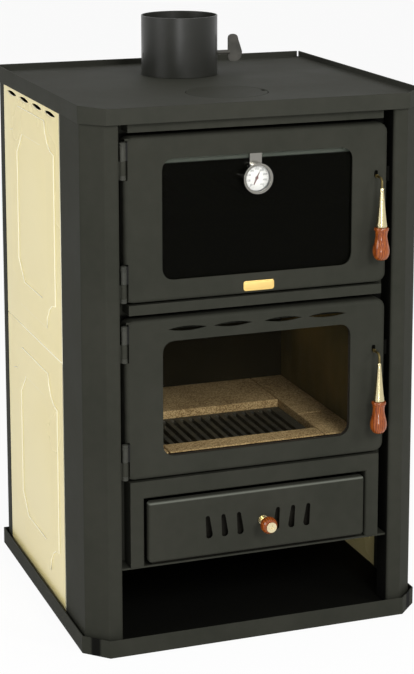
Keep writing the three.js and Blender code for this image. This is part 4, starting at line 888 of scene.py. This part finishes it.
def make_hinge_collars():
    first = "oven_door_hinge_lower"
    low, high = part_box(first)
    place = low.x + hinge_radius, low.y + hinge_radius
    barrel = hinge_radius / mm
    rings = [(barrel - 0.6, -6.5), (barrel + 0.1, -6.5), (barrel + 0.6, -6.0), (barrel + 0.6, -4.4),
             (barrel + 0.15, -3.9), (barrel + 0.15, -2.2), (barrel + 0.5, -1.6), (barrel + 0.5, 0.1),
             (barrel * 0.85, 0.9), (barrel * 0.5, 1.3)]
    cap = turned(first + "_cap", rings, hinge_paint, "oven_door", (), (*place, high.z), panes=24)
    rings = [(barrel - 0.6, -0.4), (barrel + 0.5, -0.3), (barrel + 0.6, 0.2), (barrel + 0.6, 2.6),
             (barrel + 0.1, 3.1), (barrel + 0.1, 4.6), (barrel + 0.5, 5.1), (barrel + 0.5, 6.3),
             (barrel - 0.6, 6.6)]
    ground = high.z - 2 * (high.z - low.z) - 0.3 * mm
    foot = turned(first + "_foot", rings, hinge_paint, "stove_body", (), (*place, ground), panes=24)
    for door, height in (("oven_door", "upper"), ("fire_door", "lower"), ("fire_door", "upper")):
        hinge = door + "_hinge_" + height
        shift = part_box(hinge)[0] - low
        another(cap, hinge + "_cap", shift, door)
        another(foot, hinge + "_foot", shift, "stove_body")


# Hanging handles: pale brass ferrule and turned wooden grip

def make_handles():
    ferrule, grip = "oven_latch_ferrule", "oven_latch_grip"
    low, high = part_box(ferrule)
    at = middle(ferrule)
    length = (high.z - low.z) / mm
    foot = (high.x - low.x) / 2 / mm
    tip = 2.8
    rings = [(foot - 1.2, 0), (foot - 0.3, 0.4), (foot, 1.4), (foot - 0.15, 3)]
    rings += [(foot - 0.2 - (foot - tip - 0.2) * ((k / 8) ** 0.85), 3 + (length - 4.2) * k / 8)
              for k in range(1, 9)]
    rings += [(tip - 0.4, length - 0.5), (tip - 1.1, length)]
    cone = turned(ferrule + "_turned", rings, pale_brass, "oven_latch", (ferrule,), (at.x, at.y, low.z))
    shift = middle("fire_latch_ferrule") - at
    another(cone, "fire_latch_ferrule_turned", shift, "fire_latch", ("fire_latch_ferrule",))

    low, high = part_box(grip)
    at = middle(grip)
    length = (high.z - low.z) / mm
    bulb = (high.x - low.x) / 2 / mm
    outline = [(bulb * 0.3, 0), (bulb * 0.62, 1.2), (bulb * 0.9, 6.5), (bulb, 14), (bulb * 0.93, 22),
               (bulb * 0.76, 32), (bulb * 0.7, 39), (bulb * 0.73, 44), (bulb * 0.78, length - 6)]
    rings = curve_through(outline, 4)
    rings += [(bulb * 0.84, length - 5.2), (bulb * 0.87, length - 3.6), (bulb * 0.87, length - 1.8),
              (bulb * 0.83, length - 0.5), (bulb * 0.74, length)]
    wood = turned(grip + "_turned", rings, lacquered_wood, "oven_latch", (grip,), (at.x, at.y, low.z))
    shift = middle("fire_latch_grip") - at
    another(wood, "fire_latch_grip_turned", shift, "fire_latch", ("fire_latch_grip",))


# Oven thermometer: chrome case with its clip, dial, needle and lens

def make_thermometer():
    dial = middle("thermometer_dial")
    low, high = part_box("thermometer_dial")
    rim = (high.x - low.x) / 2 / mm
    eased("thermometer_case", chrome, width=0.6)
    rings = [(rim - 0.4, 0), (rim, 0.4), (rim, 1.6), (rim - 0.3, 1.9), (rim - 0.6, 2)]
    turned("thermometer_dial_face", rings, dial_paper, "oven_door", ("thermometer_dial",),
           (dial.x, high.y, dial.z), upright, panes=64)
    # A dark steel rim inside the bezel, partly painted shade: it stands for the shade round the dial
    rings = [(rim - 2, 0), (rim - 0.1, 0), (rim - 0.1, 1.4), (rim - 0.8, 1.2), (rim - 2, 0)]
    turned("thermometer_inner_rim", rings, dark_steel, "oven_door", (),
           (dial.x, low.y - 0.02 * mm, dial.z), upright, panes=64, hollow=True)
    print_dial((dial.x, low.y - ink_depth, dial.z), (high.x - low.x) / 2)
    eased("thermometer_needle", needle_paint, width=0.15, steps=2)
    eased("thermometer_lens", lens_glass, width=0.4, steps=2)


def print_dial(centre, reach):
    """Marks round the dial, every few a long one with its figure."""
    steps = (dial_figures - 1) * marks_a_figure
    turns = [dial_start + dial_sweep * i / steps for i in range(steps + 1)]
    long_turns = turns[::marks_a_figure]
    short_turns = [turn for turn in turns if turn not in long_turns]
    prints = ring_of_marks(centre, reach, long_turns, length=3.2 * mm, width=0.55 * mm)
    prints += ring_of_marks(centre, reach, short_turns, length=1.8 * mm, width=0.3 * mm)
    prints += [dial_figure(centre, reach - figure_inset, math.radians(turn), figure_step * (i + 1))
               for i, turn in enumerate(long_turns)]
    bpy.ops.object.select_all(action="DESELECT")
    for piece in prints:
        piece.select_set(True)
    bpy.context.view_layer.objects.active = prints[0]
    bpy.ops.object.join()
    hand_over(bpy.context.object, "thermometer_dial_print", dial_ink, "oven_door")


def ring_of_marks(centre, reach, turns, length, width):
    bpy.ops.mesh.primitive_cube_add(size=1, location=(0, 0, reach - mark_inset - length / 2))
    first = bpy.context.object
    first.scale = width, 2 * ink_depth, length
    bpy.ops.object.transform_apply(location=True, rotation=True, scale=True)
    marks = [first]
    for _ in turns[1:]:
        pick(first)
        bpy.ops.object.duplicate()
        marks.append(bpy.context.object)
    for mark, turn in zip(marks, turns):
        mark.rotation_euler = 0, math.radians(turn), 0
        mark.location = centre
    return marks


def dial_figure(centre, reach, angle, value):
    bpy.ops.object.text_add(location=(0, 0, 0))
    letters = bpy.context.object.data
    letters.body = str(value)
    letters.size = figure_size
    letters.align_x = letters.align_y = "CENTER"
    letters.extrude = ink_depth
    bpy.ops.object.convert(target="MESH")
    figure = bpy.context.object
    figure.rotation_euler = upright
    figure.location = centre[0] + math.sin(angle) * reach, centre[1], centre[2] + math.cos(angle) * reach
    return figure


# Bare brass badge with a raised rim

def make_badge():
    corner, front_bend, rim = 4.2 * mm, 0.5 * mm, 1.1 * mm
    low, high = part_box("oven_badge")
    size = high - low
    bpy.ops.mesh.primitive_cube_add(size=1, location=(low + high) / 2)
    piece = bpy.context.object
    piece.scale = size
    bpy.ops.object.transform_apply(location=True, rotation=True, scale=True)
    choose_edges(piece, lambda first, second: abs(first.y - second.y) > size.y / 2)
    bpy.ops.mesh.bevel(offset=corner, segments=8, affect="EDGES")
    choose_front(piece, low.y)
    bpy.ops.mesh.bevel(offset=front_bend, segments=3, affect="EDGES")
    choose_front(piece, low.y)
    bpy.ops.mesh.inset(thickness=rim)
    bpy.ops.mesh.inset(thickness=0.5 * mm, depth=-0.5 * mm)
    bpy.ops.mesh.inset(thickness=0.6 * mm, depth=0.15 * mm)
    bpy.ops.object.mode_set(mode="OBJECT")
    hand_over(piece, "oven_badge_pressed", badge_brass, "oven_door", ("oven_badge",))


def choose_front(piece, front):
    """Selects the one wide face at the front of a piece and leaves edit mode on."""
    bpy.ops.object.mode_set(mode="OBJECT")
    wide = max((face for face in piece.data.polygons if abs(face.center.y - front) < weld),
               key=lambda face: face.area).index
    choose_faces(piece, lambda face: face.index == wide)


# Ball knob of the ash drawer

def cut_cross(piece):
    """The cross slot in the head of the knob's screw."""
    low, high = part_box("drawer_knob_screw")
    centre = (low + high) / 2
    slot_size = 8 * mm, 3 * mm, 1.5 * mm
    for turn in (20, 110):
        bpy.ops.mesh.primitive_cube_add(size=1, location=(centre.x, low.y, centre.z),
                                        rotation=(0, math.radians(turn), 0))
        bar = bpy.context.object
        bar.scale = slot_size
        cut = piece.modifiers.new("cut", "BOOLEAN")
        cut.operation = "DIFFERENCE"
        cut.object = bar
        bpy.context.view_layer.update()
        apply_changes(piece)
        pick(bar)
        bpy.ops.object.delete()


def make_knob():
    ball = middle("drawer_knob_ball")
    low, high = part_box("drawer_knob_ball")
    depth = (high.y - low.y) / mm
    radius = (high.x - low.x) / 2 / mm
    neck, flat, steps = 4.6, 8.5, 16
    centre = depth - math.sqrt(radius ** 2 - flat ** 2)
    first, last = -math.acos(neck / radius), math.acos(flat / radius)
    rings = []
    for k in range(steps + 1):
        turn = first + (last - first) * k / steps
        rings.append((radius * math.cos(turn), centre + radius * math.sin(turn)))
    turned("drawer_knob_ball_turned", rings, lacquered_wood, "ash_drawer", ("drawer_knob_ball",),
           (ball.x, high.y, ball.z), upright)
    eased("drawer_knob_screw", pale_screw, width=0.3, steps=2, shaped=cut_cross)
    eased("drawer_knob_ferrule", pale_brass, width=0.4)


def glaze():
    eased("oven_door_glass", oven_glass, width=0.4, steps=2)
    eased("fire_door_glass", window_glass, width=0.4, steps=2)


set_camera()
set_light()
set_floor()
ease_body()
glaze()
make_hinge_collars()
make_handles()
make_thermometer()
make_badge()
make_knob()

scene = bpy.context.scene
scene.view_settings.view_transform = "Standard"
